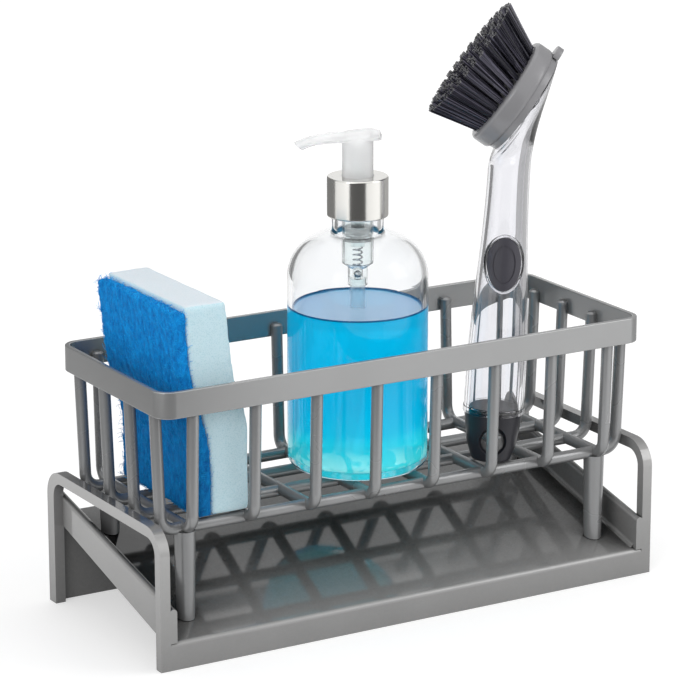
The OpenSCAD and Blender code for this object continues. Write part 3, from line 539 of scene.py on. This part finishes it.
def softened(nodeName, edge, segments=3, sharpest=32):
    # A copy of a solid with its sharp edges rounded as a mould leaves them
    mesh = solidCopy(nodeName)
    bmesh.ops.dissolve_limit(
        mesh, angle_limit=math.radians(0.6), verts=mesh.verts, edges=mesh.edges
    )
    limit = math.radians(sharpest)
    sharp = [e for e in mesh.edges if len(e.link_faces) == 2 and e.calc_face_angle() > limit]
    roundEdges(mesh, sharp, edge, segments)
    return mesh


def weightNormals(piece):
    weighted = piece.modifiers.new("weightedNormals", "WEIGHTED_NORMAL")
    weighted.keep_sharp = True
    weighted.weight = 80


def bakeModifiers(piece):
    evaluated = piece.evaluated_get(bpy.context.evaluated_depsgraph_get())
    data = bpy.data.meshes.new_from_object(evaluated)
    piece.modifiers.clear()
    piece.data = data
    return data


def newCurve(name, radius, roundness):
    curve = bpy.data.curves.new(name, "CURVE")
    curve.dimensions = "3D"
    curve.bevel_depth = radius
    curve.bevel_resolution = roundness
    return curve


def addSpline(curve, points):
    spline = curve.splines.new("POLY")
    spline.points.add(len(points) - 1)
    for point, place in zip(spline.points, points):
        point.co = (*place, 1)
    return spline


def strandMesh(name, strands, radius, roundness=0):
    curve = newCurve(name, radius, roundness)
    curve.use_fill_caps = True
    for points in strands:
        addSpline(curve, points)
    holder = bpy.data.objects.new(name, curve)
    scene.collection.objects.link(holder)
    bpy.context.view_layer.update()
    evaluated = holder.evaluated_get(bpy.context.evaluated_depsgraph_get())
    mesh = bmesh.new()
    mesh.from_mesh(bpy.data.meshes.new_from_object(evaluated))
    bpy.data.objects.remove(holder)
    return mesh


# The tray: its solid with moulded edges
tray = {"edge": 0.7 * mm}


def makeTray():
    mesh = softened("drain_tray", tray["edge"])
    piece = addPiece("drainTray", mesh, "tray", "tray", ["drain_tray"])
    weightNormals(piece)


makeTray()
print("tray made")


# The basket: the rim's edges are rolled, wires and legs are dressed solids
basket = {"rimEdge": 0.6 * mm}


def makeBasket():
    mesh = softened("rim_band", basket["rimEdge"])
    piece = addPiece("rimBand", mesh, "basket", "basket", ["rim_band"])
    weightNormals(piece)
    for name in frame["record"]["behaviour"]["bodies"]["basket"]:
        if name != "rim_band":
            dress(name, "wire")


makeBasket()
print("basket made")


# The bottle, turned about its axis; heights are from its foot
bottleLow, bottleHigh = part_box("bottle")
bottleFoot = Vector((
    (bottleLow.x + bottleHigh.x) / 2,
    (bottleLow.y + bottleHigh.y) / 2,
    bottleLow.z,
))
bottle = {
    "radius": (bottleHigh.x - bottleLow.x) / 2,
    "height": bottleHigh.z - bottleLow.z,
    "wall": 2.6 * mm,
    "base": 4.0 * mm,
    "footRadius": 5.5 * mm,
    "shoulder": 102.0 * mm,
    "shoulderRadius": 24.5 * mm,
    "neck": 13.5 * mm,
    "bore": 11.0 * mm,
    "neckFillet": 1.5 * mm,
    "lip": 0.7 * mm,
    "soapLevel": 85.8 * mm,
    "soapBite": 0.1 * mm,
    "footRing": 0.8 * mm,
    "floorCrown": 0.5 * mm,
    "floorSlope": 0.3 * mm,
    "meniscus": 1.3 * mm,
    # Distance from the glass in millimetres and share of the meniscus there
    "meniscusCurve": ((0, 1), (0.25, 0.75), (0.9, 0.3), (2, 0.06), (4, 0)),
    "steps": 144,
}


def shoulderEnd(radius, arcRadius):
    share = (radius - (bottle["radius"] - bottle["shoulderRadius"])) / arcRadius
    return math.degrees(math.acos(min(1.0, max(0.0, share))))


def bottleOutside():
    b = bottle
    fillet = b["neckFillet"]
    middle = b["radius"] - b["shoulderRadius"]
    end = shoulderEnd(b["neck"] + fillet, b["shoulderRadius"] + fillet)
    neckFoot = b["shoulder"] + (b["shoulderRadius"] + fillet) * math.sin(math.radians(end))
    return (
        [(0, b["base"] / 3), (b["radius"] - 3 * b["footRadius"], b["base"] / 3)]
        + arcPoints(b["radius"] - 2 * b["footRadius"], b["footRing"], b["footRing"], -140, -90, 3)
        + arcPoints(b["radius"] - b["footRadius"], b["footRadius"], b["footRadius"], -90, 0, 10)
        + arcPoints(middle, b["shoulder"], b["shoulderRadius"], 0, end, 28)
        + arcPoints(b["neck"] + fillet, neckFoot, fillet, 180 + end, 180, 6)
        + arcPoints(b["neck"] - b["lip"], b["height"] - b["lip"], b["lip"], 0, 90, 4)
    )


def bottleInside(inset):
    b = bottle
    inner = b["radius"] - b["wall"] - inset
    edge = b["footRadius"] - b["wall"] / 2
    arcRadius = b["shoulderRadius"] - b["wall"] - inset
    middle = b["radius"] - b["shoulderRadius"]
    end = shoulderEnd(b["bore"], arcRadius)
    floor = b["base"] + inset
    fillet = middle - b["bore"]
    return (
        [(0, floor + b["floorCrown"]), (inner / 2, floor + b["floorSlope"])]
        + arcPoints(inner - edge, floor + edge, edge, -90, 0, 10)
        + arcPoints(middle, b["shoulder"], arcRadius, 0, end, 24)[:-1]
        + arcPoints(middle, b["shoulder"] + arcRadius + fillet, fillet, -90, -180, 6)
    )


def makeBottle():
    b = bottle
    outside = bottleOutside()
    inside = bottleInside(0) + arcPoints(
        b["bore"] + b["lip"], b["height"] - b["lip"], b["lip"], 180, 90, 4
    )
    mesh = turnedMesh(outside + inside[::-1], bottleFoot, b["steps"], closed=False)
    addPiece("glassBottle", mesh, "bottle", "glass", ["bottle"], sharpAngle=60)


def makeSoap():
    b = bottle
    wet = [point for point in bottleInside(-b["soapBite"]) if point[1] < b["soapLevel"]]
    rim = b["radius"] - b["wall"] + b["soapBite"]
    top = b["soapLevel"]
    curve = [
        (rim - away * mm, top + share * b["meniscus"]) for away, share in b["meniscusCurve"]
    ] + [(0, top)]
    mesh = turnedMesh(wet + curve, bottleFoot, b["steps"], closed=False)
    finishes["soap"] = soapFinish(bottleFoot.z + b["base"], bottleFoot.z + top)
    addPiece("soapFilling", mesh, "bottle", "soap", ["soap"], sharpAngle=50)


makeBottle()
makeSoap()
print("bottle made")


# The pump: the spring and the collar are new, the other solids are dressed
pump = {
    "springWire": 0.42 * mm,
    "springRadius": 2.33 * mm,
    "springTurns": 4,
    "pressedShare": 0.37,
    "collarEdge": 0.8 * mm,
    "dressed": {
        "pump_housing": "pumpPlastic",
        "dip_tube": "dipTube",
        "plunger_stem": "dipTube",
        "piston": "spout",
        "spout_head": "spout",
        "inlet_ball": "steel",
        "closure_insert": "insert",
        "neck_gasket": "silicone",
    },
}


def makeSpring():
    low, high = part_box("return_spring")
    run = high.z - low.z - 2 * pump["springWire"]
    count = 24 * pump["springTurns"]
    points = []
    for i in range(count + 1):
        turn = 2 * math.pi * pump["springTurns"] * i / count
        around = Vector((math.cos(turn), math.sin(turn), 0)) * pump["springRadius"]
        rise = Vector((0, 0, low.z - bottleFoot.z + pump["springWire"] + run * i / count))
        points.append(bottleFoot + around + rise)
    mesh = strandMesh("pumpSpring", [points], pump["springWire"], roundness=3)
    piece = addPiece("pumpSpring", mesh, "pump", "steel", ["return_spring"])
    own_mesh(piece)


def makeCollar():
    mesh = softened("collar", pump["collarEdge"], sharpest=60)
    piece = addPiece("nickelCollar", mesh, "closure", "nickel", ["collar"])
    weightNormals(piece)


def makePump():
    finishes["nickel"] = nickelFinish((bottleFoot.x, bottleFoot.y, 0))
    makeCollar()
    makeSpring()
    for nodeName, finish in pump["dressed"].items():
        dress(nodeName, finish)


makePump()
print("pump made")


# The sponge: remeshed copies of the two soft solids, worked over
sponge = {
    "foamVoxel": 1.5 * mm,
    "padVoxel": 1.2 * mm,
    "foamSmoothing": 3,
    "padSmoothing": 2,
    # Waves that roughen a face: how many to a metre or so, and how high
    "foamWaves": ((60, 0.35 * mm), (400, 0.125 * mm)),
    "padWaves": ((220, 0.55 * mm), (900, 0.3 * mm)),
    "strands": 5500,
    "strandRadius": 0.09 * mm,
    "strandLength": 4.5 * mm,
    "strandRise": 0.5 * mm,
    "strandRoot": 0.3 * mm,
    "strandTurn": 0.7,
    "strandBend": 0.9,
}


def remeshedCopy(nodeName, pieceName, voxel, smoothing):
    data = nodes[nodeName].data.copy()
    piece = bpy.data.objects.new(pieceName, data)
    scene.collection.objects.link(piece)
    weld = piece.modifiers.new("weld", "WELD")
    weld.merge_threshold = solidWeld
    remesh = piece.modifiers.new("remesh", "REMESH")
    remesh.mode = "VOXEL"
    remesh.voxel_size = voxel
    smooth = piece.modifiers.new("smooth", "SMOOTH")
    smooth.factor = 0.5
    smooth.iterations = smoothing
    data = bakeModifiers(piece)
    mesh = bmesh.new()
    mesh.from_mesh(data)
    bpy.data.objects.remove(piece)
    return mesh


def waveAt(place, waves):
    return sum(noise.noise(place * scale) * height for scale, height in waves)


def makeFoam():
    mesh = remeshedCopy("foam", "foamCopy", sponge["foamVoxel"], sponge["foamSmoothing"])
    mesh.normal_update()
    for vert in mesh.verts:
        vert.co += vert.normal * waveAt(vert.co, sponge["foamWaves"])
    piece = addPiece("foamBlock", mesh, "sponge", "foam", ["foam"], sharpAngle=180)
    smooth = piece.modifiers.new("subdivision", "SUBSURF")
    smooth.levels = smooth.render_levels = 1


def padStrands(places):
    strands = []
    for place, normal in places:
        side = normal.cross(Vector((0, 0, 1)))
        side = side.normalized() if side.length > 0.1 else Vector((1, 0, 0))
        up = side.cross(normal).normalized()
        heading = random.gauss(math.pi / 2, sponge["strandTurn"])
        bend = random.uniform(-sponge["strandBend"], sponge["strandBend"])
        length = sponge["strandLength"] * random.uniform(0.5, 1.3)
        rise = sponge["strandRise"] * random.uniform(0.3, 1.5)
        here = place - normal * sponge["strandRoot"]
        points = [here]
        for step in range(1, 5):
            angle = heading + bend * step / 2
            here = here + (side * math.cos(angle) + up * math.sin(angle)) * length / 4
            lift = normal * rise * (1 - abs(step - 2) / 2)
            points.append(here + lift)
        strands.append(points)
    return strands


def makePad():
    random.seed(11)
    mesh = remeshedCopy("scour_pad", "padCopy", sponge["padVoxel"], sponge["padSmoothing"])
    mesh.normal_update()
    for vert in mesh.verts:
        vert.co += vert.normal * waveAt(vert.co, sponge["padWaves"])
    mesh.normal_update()
    outer = [face for face in mesh.faces if face.normal.x < 0.6]
    chosen = [random.choice(outer) for _ in range(sponge["strands"])]
    places = [(face.calc_center_median(), face.normal.copy()) for face in chosen]
    piece = addPiece(
        "scouringPad", mesh, "sponge", "pad", ["scour_pad"], sharpAngle=180
    )
    loose = strandMesh("padStrands", padStrands(places), sponge["strandRadius"])
    strands = addPiece("padStrands", loose, "sponge", "strand")


makeFoam()
makePad()
print("sponge made")


# The brush; its frame stands on the foot of the end cap and leans a little
brush = {
    "foot": Vector((65.0 * mm, -34.0 * mm, 70.83 * mm)),
    "tilt": 3.5,
    "turn": -30.8,
    "headTilt": 58.1,
    "gripRadius": 16.0 * mm,
    "slimRadius": 11.15 * mm,
    "wall": 2.7 * mm,
    "gripHeight": 157.0 * mm,
    "capHeight": 26.05 * mm,
    "taperShare": 0.265,
    "faceX": -5.3 * mm,
    "faceRise": 42.15 * mm,
    "plateThickness": 10.5 * mm,
    "plateCollar": 3.4 * mm,
    "plateRadius": 30.0 * mm,
    "plateRound": 2.2 * mm,
    "plateSteps": 128,
    "valveBore": 3.2 * mm,
    "tabReach": 34.6 * mm,
    "tabRadius": 6.0 * mm,
    "tabThickness": 3.4 * mm,
    "tabRise": 0.3 * mm,
    "tabEdge": 0.9 * mm,
    "tabSides": 48,
    "fieldGap": 0.35 * mm,
    "backingGap": 0.05 * mm,
    "grooveOutside": 0.3 * mm,
    "grooveInside": 0.4 * mm,
    "lipOut": 0.5 * mm,
    "mouthRadius": 28.0 * mm,
    "spigotRadius": 27.1 * mm,
    "spigotRise": 3.0 * mm,
    "spigotWall": 2.3 * mm,
    "ringStep": 0.1 * mm,
    "mouthGap": 0.3 * mm,
    "ringHeight": 3.0 * mm,
    "ringOut": 0.4 * mm,
    "sides": 64,
    "gripRings": 40,
    "neckRings": 24,
    "leftPull": 0.4,
    "leftLean": 0.5,
    "rightPull": 0.36,
    "rightLean": 0.2,
    "creaseAngle": 50,
    "buttonHeight": 108.6 * mm,
    "buttonHalfWidth": 9.3 * mm,
    "buttonHalfHeight": 14.3 * mm,
    "buttonRim": 0.75 * mm,
    "rimPoints": 72,
    "holeDepth": 25.0 * mm,
    "capEdge": 0.8 * mm,
}
brushFrame = (
    Matrix.Translation(brush["foot"])
    @ Matrix.Rotation(math.radians(brush["tilt"]), 4, "Y")
    @ Matrix.Rotation(math.radians(brush["turn"]), 4, "Z")
)
faceHeight = brush["gripHeight"] + brush["faceRise"]
headFrame = (
    brushFrame
    @ Matrix.Translation((brush["faceX"], 0, faceHeight))
    @ Matrix.Rotation(math.radians(-brush["headTilt"]), 4, "Y")
)


def gripRadius(z):
    start = brush["taperShare"] * brush["gripHeight"]
    share = min(1.0, max(0.0, (z - start) / (brush["gripHeight"] - start)))
    drop = (brush["gripRadius"] - brush["slimRadius"]) * (1 - math.cos(math.pi * share)) / 2
    return brush["gripRadius"] - drop


def ringAngles():
    return [2 * math.pi * i / brush["sides"] for i in range(brush["sides"])]


def gripRing(z, inset):
    radius = gripRadius(z) - inset
    return [Vector((radius * math.cos(a), radius * math.sin(a), z)) for a in ringAngles()]


def cubicPoint(points, t):
    a, b, c, d = points
    return a * (1 - t) ** 3 + b * 3 * t * (1 - t) ** 2 + c * 3 * t * t * (1 - t) + d * t ** 3


def neckCurves():
    # The neck's two outlines seen from the side, from the top of the grip to the head's collar
    b = brush
    tilt = math.radians(b["headTilt"])
    depth = b["plateThickness"] + b["plateCollar"] + b["mouthGap"]
    mouth = Vector((b["faceX"] + depth * math.sin(tilt), faceHeight - depth * math.cos(tilt)))
    across = Vector((math.cos(tilt), math.sin(tilt))) * b["mouthRadius"]
    left, right = mouth - across, mouth + across
    top, slim = b["gripHeight"], b["slimRadius"]
    leftPull = b["leftPull"] * (left.y - top)
    rightPull = b["rightPull"] * (right.y - top)
    return (
        [Vector((-slim, top)), Vector((-slim, top + leftPull)),
            left - leftPull * Vector((b["leftLean"], 1)), left],
        [Vector((slim, top)), Vector((slim, top + rightPull)),
            right - rightPull * Vector((b["rightLean"], 1)), right],
    )


def neckRing(t, inset):
    leftCurve, rightCurve = neckCurves()
    left, right = cubicPoint(leftCurve, t), cubicPoint(rightCurve, t)
    middle, across = (left + right) / 2, (right - left) / 2
    half = across * (across.length - inset) / across.length
    eased = t * t * (3 - 2 * t)
    depth = brush["slimRadius"] + (brush["mouthRadius"] - brush["slimRadius"]) * eased - inset
    return [
        Vector((middle.x + half.x * math.cos(a), depth * math.sin(a), middle.y + half.y * math.cos(a)))
        for a in ringAngles()
    ]


def mouthRing(radius, height):
    tilt = math.radians(brush["headTilt"])
    return [
        Vector((
            brush["faceX"] - height * math.sin(tilt) + radius * math.cos(a) * math.cos(tilt),
            radius * math.sin(a),
            faceHeight + height * math.cos(tilt) + radius * math.cos(a) * math.sin(tilt),
        ))
        for a in ringAngles()
    ]


def makeHandle():
    b = brush
    foot, top = b["capHeight"], b["gripHeight"]
    levels = [foot + (top - foot) * i / b["gripRings"] for i in range(b["gripRings"])]
    shares = [i / b["neckRings"] for i in range(b["neckRings"] + 1)]
    depth = b["plateThickness"] + b["plateCollar"] + b["mouthGap"]
    outer = [gripRing(foot, -b["ringOut"]), gripRing(foot + b["ringHeight"], -b["ringOut"])]
    outer += [gripRing(z, 0) for z in levels if z > foot + b["ringHeight"]]
    outer += [neckRing(share, 0) for share in shares]
    lip = b["spigotRise"] - b["plateThickness"] - b["mouthGap"]
    # Rings in one plane would bridge to their far sides, so each step is a little off level
    spigot = [
        mouthRing(b["spigotRadius"], b["ringStep"] - depth),
        mouthRing(b["spigotRadius"], lip),
        mouthRing(b["spigotRadius"] - b["spigotWall"], lip - b["ringStep"]),
    ]
    inner = [neckRing(share, b["wall"]) for share in shares[::-1]]
    inner += [gripRing(z, b["wall"]) for z in levels[::-1]]
    mesh = loftedMesh(outer + spigot + inner)
    bmesh.ops.transform(mesh, matrix=brushFrame, verts=mesh.verts)
    piece = addPiece(
        "clearHandle", mesh, "brush", "clearHandle",
        ["brush_handle", "brush_neck"], sharpAngle=b["creaseAngle"],
    )
    cutButtonHole(piece)


def buttonBar():
    # An oval bar from the grip's axis out through the wall, where the button sits
    b = brush
    mesh = bmesh.new()
    made = bmesh.ops.create_circle(
        mesh, segments=b["sides"], radius=1.0, cap_ends=True
    )["verts"]
    for vert in made:
        height = vert.co.y * b["buttonHalfHeight"] + b["buttonHeight"]
        vert.co = Vector((vert.co.x * b["buttonHalfWidth"], 0, height))
    pushFace(mesh, made[0].link_faces[0], (0, -b["holeDepth"], 0))
    bmesh.ops.recalc_face_normals(mesh, faces=mesh.faces)
    bmesh.ops.transform(mesh, matrix=brushFrame, verts=mesh.verts)
    return mesh


def cutButtonHole(piece):
    cutter = newObject("holeCutter", buttonBar())
    cut = piece.modifiers.new("buttonHole", "BOOLEAN")
    cut.operation = "DIFFERENCE"
    cut.object = cutter
    bpy.context.view_layer.update()
    bakeModifiers(piece)
    bpy.data.objects.remove(cutter)
    smoothShape(piece, brush["creaseAngle"])


def makeButtonRim():
    # Clear raised rim round the button, laid on the curve of the grip
    b = brush
    halfWidth, halfHeight = b["buttonHalfWidth"] + b["buttonRim"], b["buttonHalfHeight"] + b["buttonRim"]
    points = []
    for i in range(b["rimPoints"]):
        angle = 2 * math.pi * i / b["rimPoints"]
        x = halfWidth * math.cos(angle)
        z = b["buttonHeight"] + halfHeight * math.sin(angle)
        points.append(brushFrame @ Vector((x, -math.sqrt(gripRadius(z) ** 2 - x * x), z)))
    curve = newCurve("buttonRim", b["buttonRim"], 3)
    addSpline(curve, points).use_cyclic_u = True
    piece = bpy.data.objects.new("buttonRim", curve)
    scene.collection.objects.link(piece)
    curve.materials.append(finishes["clearHandle"])
    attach(piece, "brush")


def makeBrushSolids():
    mesh = softened("brush_end_cap", brush["capEdge"], sharpest=50)
    cap = addPiece("endCap", mesh, "end_cap", "cap", ["brush_end_cap"])
    weightNormals(cap)
    dress("brush_button", "rubber")
    dress("cap_seal", "seal")
    dress("soap_valve", "silicone")


def makeHeadPlate():
    # Turned plate with a low collar and a groove for the clear spigot
    b = brush
    plate, collar, edge = b["plateThickness"], b["plateCollar"], b["plateRound"]
    rim, bore = b["plateRadius"], b["valveBore"]
    field, seat = bristles["fieldRadius"] + b["fieldGap"], bristles["backing"] + b["backingGap"]
    groove = b["spigotRadius"] + b["grooveOutside"]
    grooveInside = b["spigotRadius"] - b["spigotWall"] - b["grooveInside"]
    lip = b["mouthRadius"] + b["lipOut"]
    profile = (
        [(bore, -seat), (field, -seat), (field, 0)]
        + arcPoints(rim - edge, -edge, edge, 90, 0, 6)
        + arcPoints(rim - edge, edge - plate, edge, 0, -75, 6)
        + [(lip, -plate + 0.35 * mm), (lip, -plate - 0.5 * mm), (lip - 0.3 * mm, -plate - collar),
            (groove, -plate - collar), (groove, b["spigotRise"] - plate),
            (grooveInside, b["spigotRise"] - plate), (grooveInside, -plate), (bore, -plate)]
    )
    mesh = turnedMesh(profile, (0, 0, 0), b["plateSteps"])
    addTab(mesh)
    bmesh.ops.transform(mesh, matrix=headFrame, verts=mesh.verts)
    addPiece(
        "headPlate", mesh, "head", "headPlastic", ["brush_head"], sharpAngle=35
    )


def addTab(mesh):
    # Half-round release tab with rounded edges
    b = brush
    middle = b["tabReach"] - b["tabRadius"]
    foot = b["tabRise"] - b["plateThickness"] - b["tabThickness"]
    made = bmesh.ops.create_circle(
        mesh, segments=b["tabSides"], radius=b["tabRadius"], cap_ends=True
    )["verts"]
    for vert in made:
        vert.co = Vector((middle + max(0.0, vert.co.x), vert.co.y, foot))
    verts = made + pushFace(mesh, made[0].link_faces[0], (0, 0, b["tabThickness"]))
    bmesh.ops.remove_doubles(mesh, verts=verts, dist=samePoint)
    edges = {e for v in verts if v.is_valid for e in v.link_edges if len(e.link_faces) == 2}
    limit = math.radians(60)
    sharp = [e for e in edges if e.calc_face_angle() > limit and e.verts[0].co.x > middle]
    roundEdges(mesh, sharp, b["tabEdge"], 3)
    bmesh.ops.recalc_face_normals(mesh, faces=mesh.faces)


# Tufts stand in rings and splay; each is a bundle of trimmed filaments
bristles = {
    "fieldRadius": 26.4 * mm,
    "length": 26.5 * mm,
    "splay": 19.9,
    "lean": 8.4,
    "rings": 5,
    "ringPitch": 4.75 * mm,
    "firstRing": 6.0 * mm,
    "tuftRoot": 1.25 * mm,
    "tuftTip": 1.9 * mm,
    "filaments": 30,
    "filamentRadius": 0.2 * mm,
    "trim": 0.7 * mm,
    "wild": 0.12 * mm,
    "rootDepth": 0.5 * mm,
    "backing": 1.5 * mm,
    "backingBore": 3.4 * mm,
    "backingSteps": 72,
}


def tuftPlaces():
    places = []
    for ring in range(bristles["rings"]):
        radius = bristles["firstRing"] + ring * bristles["ringPitch"]
        count = round(2 * math.pi * radius / bristles["ringPitch"])
        for i in range(count):
            angle = 2 * math.pi * (i + 0.5 * (ring % 2)) / count
            places.append((radius, angle))
    return places


def makeBristles():
    random.seed(5)
    b = bristles
    strands = []
    splay, lean = math.tan(math.radians(b["splay"])), math.tan(math.radians(b["lean"]))
    for radius, angle in tuftPlaces():
        root = Vector((radius * math.cos(angle), radius * math.sin(angle), 0))
        slope = root / b["fieldRadius"] * splay
        run = Vector((slope.x + lean, slope.y, 1)).normalized() * b["length"]
        for _ in range(b["filaments"]):
            around = random.uniform(0, 2 * math.pi)
            out = math.sqrt(random.random())
            spread = Vector((math.cos(around), math.sin(around), 0)) * out
            wild = Vector((random.gauss(0, b["wild"]), random.gauss(0, b["wild"]), 0))
            trim = 1 - random.uniform(0, b["trim"]) / b["length"]
            start = root + spread * b["tuftRoot"] - Vector((0, 0, b["rootDepth"]))
            middle = root + run * 0.5 + spread * (b["tuftRoot"] + b["tuftTip"]) / 2
            end = root + run * trim + spread * b["tuftTip"] + 2 * wild
            strands.append([headFrame @ start, headFrame @ (middle + wild), headFrame @ end])
    mesh = strandMesh("bristleTufts", strands, b["filamentRadius"])
    markFilaments(mesh, len(strands), splay, lean)
    addPiece("bristleTufts", mesh, "head", "bristle", ["brush_bristles"])
    addBacking()


def markFilaments(mesh, count, splay, lean):
    # How far along its filament each point lies, 0 at the plate and 1 at the tip, and a shade each
    along = mesh.verts.layers.float.new("alongFilament")
    tone = mesh.verts.layers.float.new("filamentTone")
    tones = [random.random() for _ in range(count)]
    share = len(mesh.verts) // count
    for i, vert in enumerate(mesh.verts):
        vert[tone] = tones[min(i // share, count - 1)]
    back = headFrame.inverted()
    grow = splay / bristles["fieldRadius"]
    for vert in mesh.verts:
        place = back @ vert.co
        root = (place.xy - Vector((lean * place.z, 0))) / (1 + grow * place.z)
        slope = root * grow + Vector((lean, 0))
        vert[along] = place.z * math.sqrt(1 + slope.length_squared) / bristles["length"]


def addBacking():
    b = bristles
    radius, bore = b["fieldRadius"], b["backingBore"]
    mesh = turnedMesh(
        [(bore, -b["backing"]), (radius, -b["backing"]), (radius, -0.15 * mm),
            (radius - 0.2 * mm, 0.05 * mm), (bore, 0.05 * mm)],
        (0, 0, 0), b["backingSteps"],
    )
    bmesh.ops.transform(mesh, matrix=headFrame, verts=mesh.verts)
    addPiece("bristleBacking", mesh, "head", "headPlastic")


makeHandle()
makeButtonRim()
makeBrushSolids()
makeHeadPlate()
makeBristles()
print("brush made")


# The studio: a pale floor that keeps the shadow, soft lamps and a plain white surrounding
studio = {
    "floorSize": 40.0,
    "floorShade": 0.62,
    "floorLift": 0.5,
    "farLift": 0.6,
    "nearReach": 0.35,
    "farReach": 1.6,
    "sky": 0.6,
    "white": 1.0,
    "lamps": [
        {"name": "overheadSoftbox", "place": (0.1, 0.1, 1.5), "size": 1.3, "power": 3.2},
        {"name": "rightSoftbox", "place": (1.15, -0.85, 0.85), "size": 1.0, "power": 8.0},
        {"name": "leftFill", "place": (-1.3, -0.9, 0.7), "size": 1.0, "power": 9.8},
    ],
    "aim": (0.0, 0.0, 0.11),
    # Cards: turn from the camera's side in degrees, distance, width, foot, top, brightness
    "cards": {
        "frontCard": (0, 0.30, 0.34, 0.1, 0.35, 0.11),
        "frontLowCard": (0, 0.30, 0.5, 0.0, 0.1, 0.13),
        "leftLowCard": (-72, 0.34, 0.42, 0.0, 0.1, 0.2),
        "leftFootCard": (-126, 0.42, 0.6, 0.0, 0.07, 0.55),
        "leftSideCard": (-126, 0.42, 0.6, 0.07, 0.6, 0.25),
        "rightSideCard": (126, 0.42, 0.6, 0.0, 0.6, 0.5),
    },
    "seeThroughCards": ("leftSideCard", "rightSideCard"),
}


def whiteRays(tree):
    # 1 for what the camera, metal and glass see directly
    path = addNode(tree, "ShaderNodeLightPath").outputs
    seen = calculate(tree, "MAXIMUM", path["Is Camera Ray"], path["Is Glossy Ray"])
    return calculate(tree, "MAXIMUM", seen, path["Is Transmission Ray"])


def makeFloor():
    mesh = bmesh.new()
    bmesh.ops.create_grid(mesh, x_segments=1, y_segments=1, size=studio["floorSize"] / 2)
    floor = newObject("paleFloor", mesh)
    shade = studio["floorShade"]
    material, tree, principled = newFinish(
        "paleFloor", Base_Color=(shade, shade, shade, 1), Roughness=0.55,
        Specular_IOR_Level=0.25, Emission_Color=(1, 1, 1, 1),
    )
    reach = vectorNode(tree, "LENGTH", addNode(tree, "ShaderNodeTexCoord").outputs["Object"])
    lift = rescaled(
        tree, reach["Value"], studio["nearReach"], studio["farReach"],
        studio["floorLift"], studio["farLift"],
    )
    glow = calculate(tree, "MULTIPLY", whiteRays(tree), lift)
    feed(tree, principled, {"Emission Strength": glow})
    floor.data.materials.append(material)


def makeWorld():
    world = bpy.data.worlds.new("studio")
    world.use_nodes = True
    scene.world = world
    tree = world.node_tree
    level = rescaled(tree, whiteRays(tree), toMin=studio["sky"], toMax=studio["white"])
    feed(tree, tree.nodes["Background"].inputs, {"Color": (1, 1, 1, 1), "Strength": level})


def makeLamps():
    aim = Vector(studio["aim"])
    for lamp in studio["lamps"]:
        data = bpy.data.lights.new(lamp["name"], "AREA")
        data.size = lamp["size"]
        data.energy = lamp["power"]
        holder = bpy.data.objects.new(lamp["name"], data)
        holder.location = lamp["place"]
        holder.rotation_euler = (aim - holder.location).to_track_quat("-Z", "Y").to_euler()
        scene.collection.objects.link(holder)


def makeCards():
    # Dim cards that only metal and glass see; they draw the dark lines of the clear pieces
    towardCamera = math.atan2(camera["place"][1], camera["place"][0])
    for name, (turn, away, width, foot, top, glow) in studio["cards"].items():
        angle = towardCamera + math.radians(turn)
        mesh = bmesh.new()
        bmesh.ops.create_grid(mesh, x_segments=1, y_segments=1, size=0.5)
        scale = Matrix.Diagonal((width, top - foot, 1, 1))
        stand = Matrix.Rotation(math.radians(90), 4, "X")
        face = Matrix.Rotation(angle + math.radians(90), 4, "Z")
        middle = (away * math.cos(angle), away * math.sin(angle), (foot + top) / 2)
        place = Matrix.Translation(middle)
        bmesh.ops.transform(mesh, matrix=place @ face @ stand @ scale, verts=mesh.verts)
        card = newObject(name, mesh)
        card.visible_camera = card.visible_diffuse = card.visible_shadow = False
        card.visible_transmission = name in studio["seeThroughCards"]
        card.data.materials.append(newFinish(
            name, Base_Color=(0, 0, 0, 1), Specular_IOR_Level=0.0,
            Emission_Color=(1, 1, 1, 1), Emission_Strength=glow,
        )[0])


makeFloor()
makeWorld()
makeLamps()
makeCards()
scene.view_settings.view_transform = "Standard"
print("studio lit")
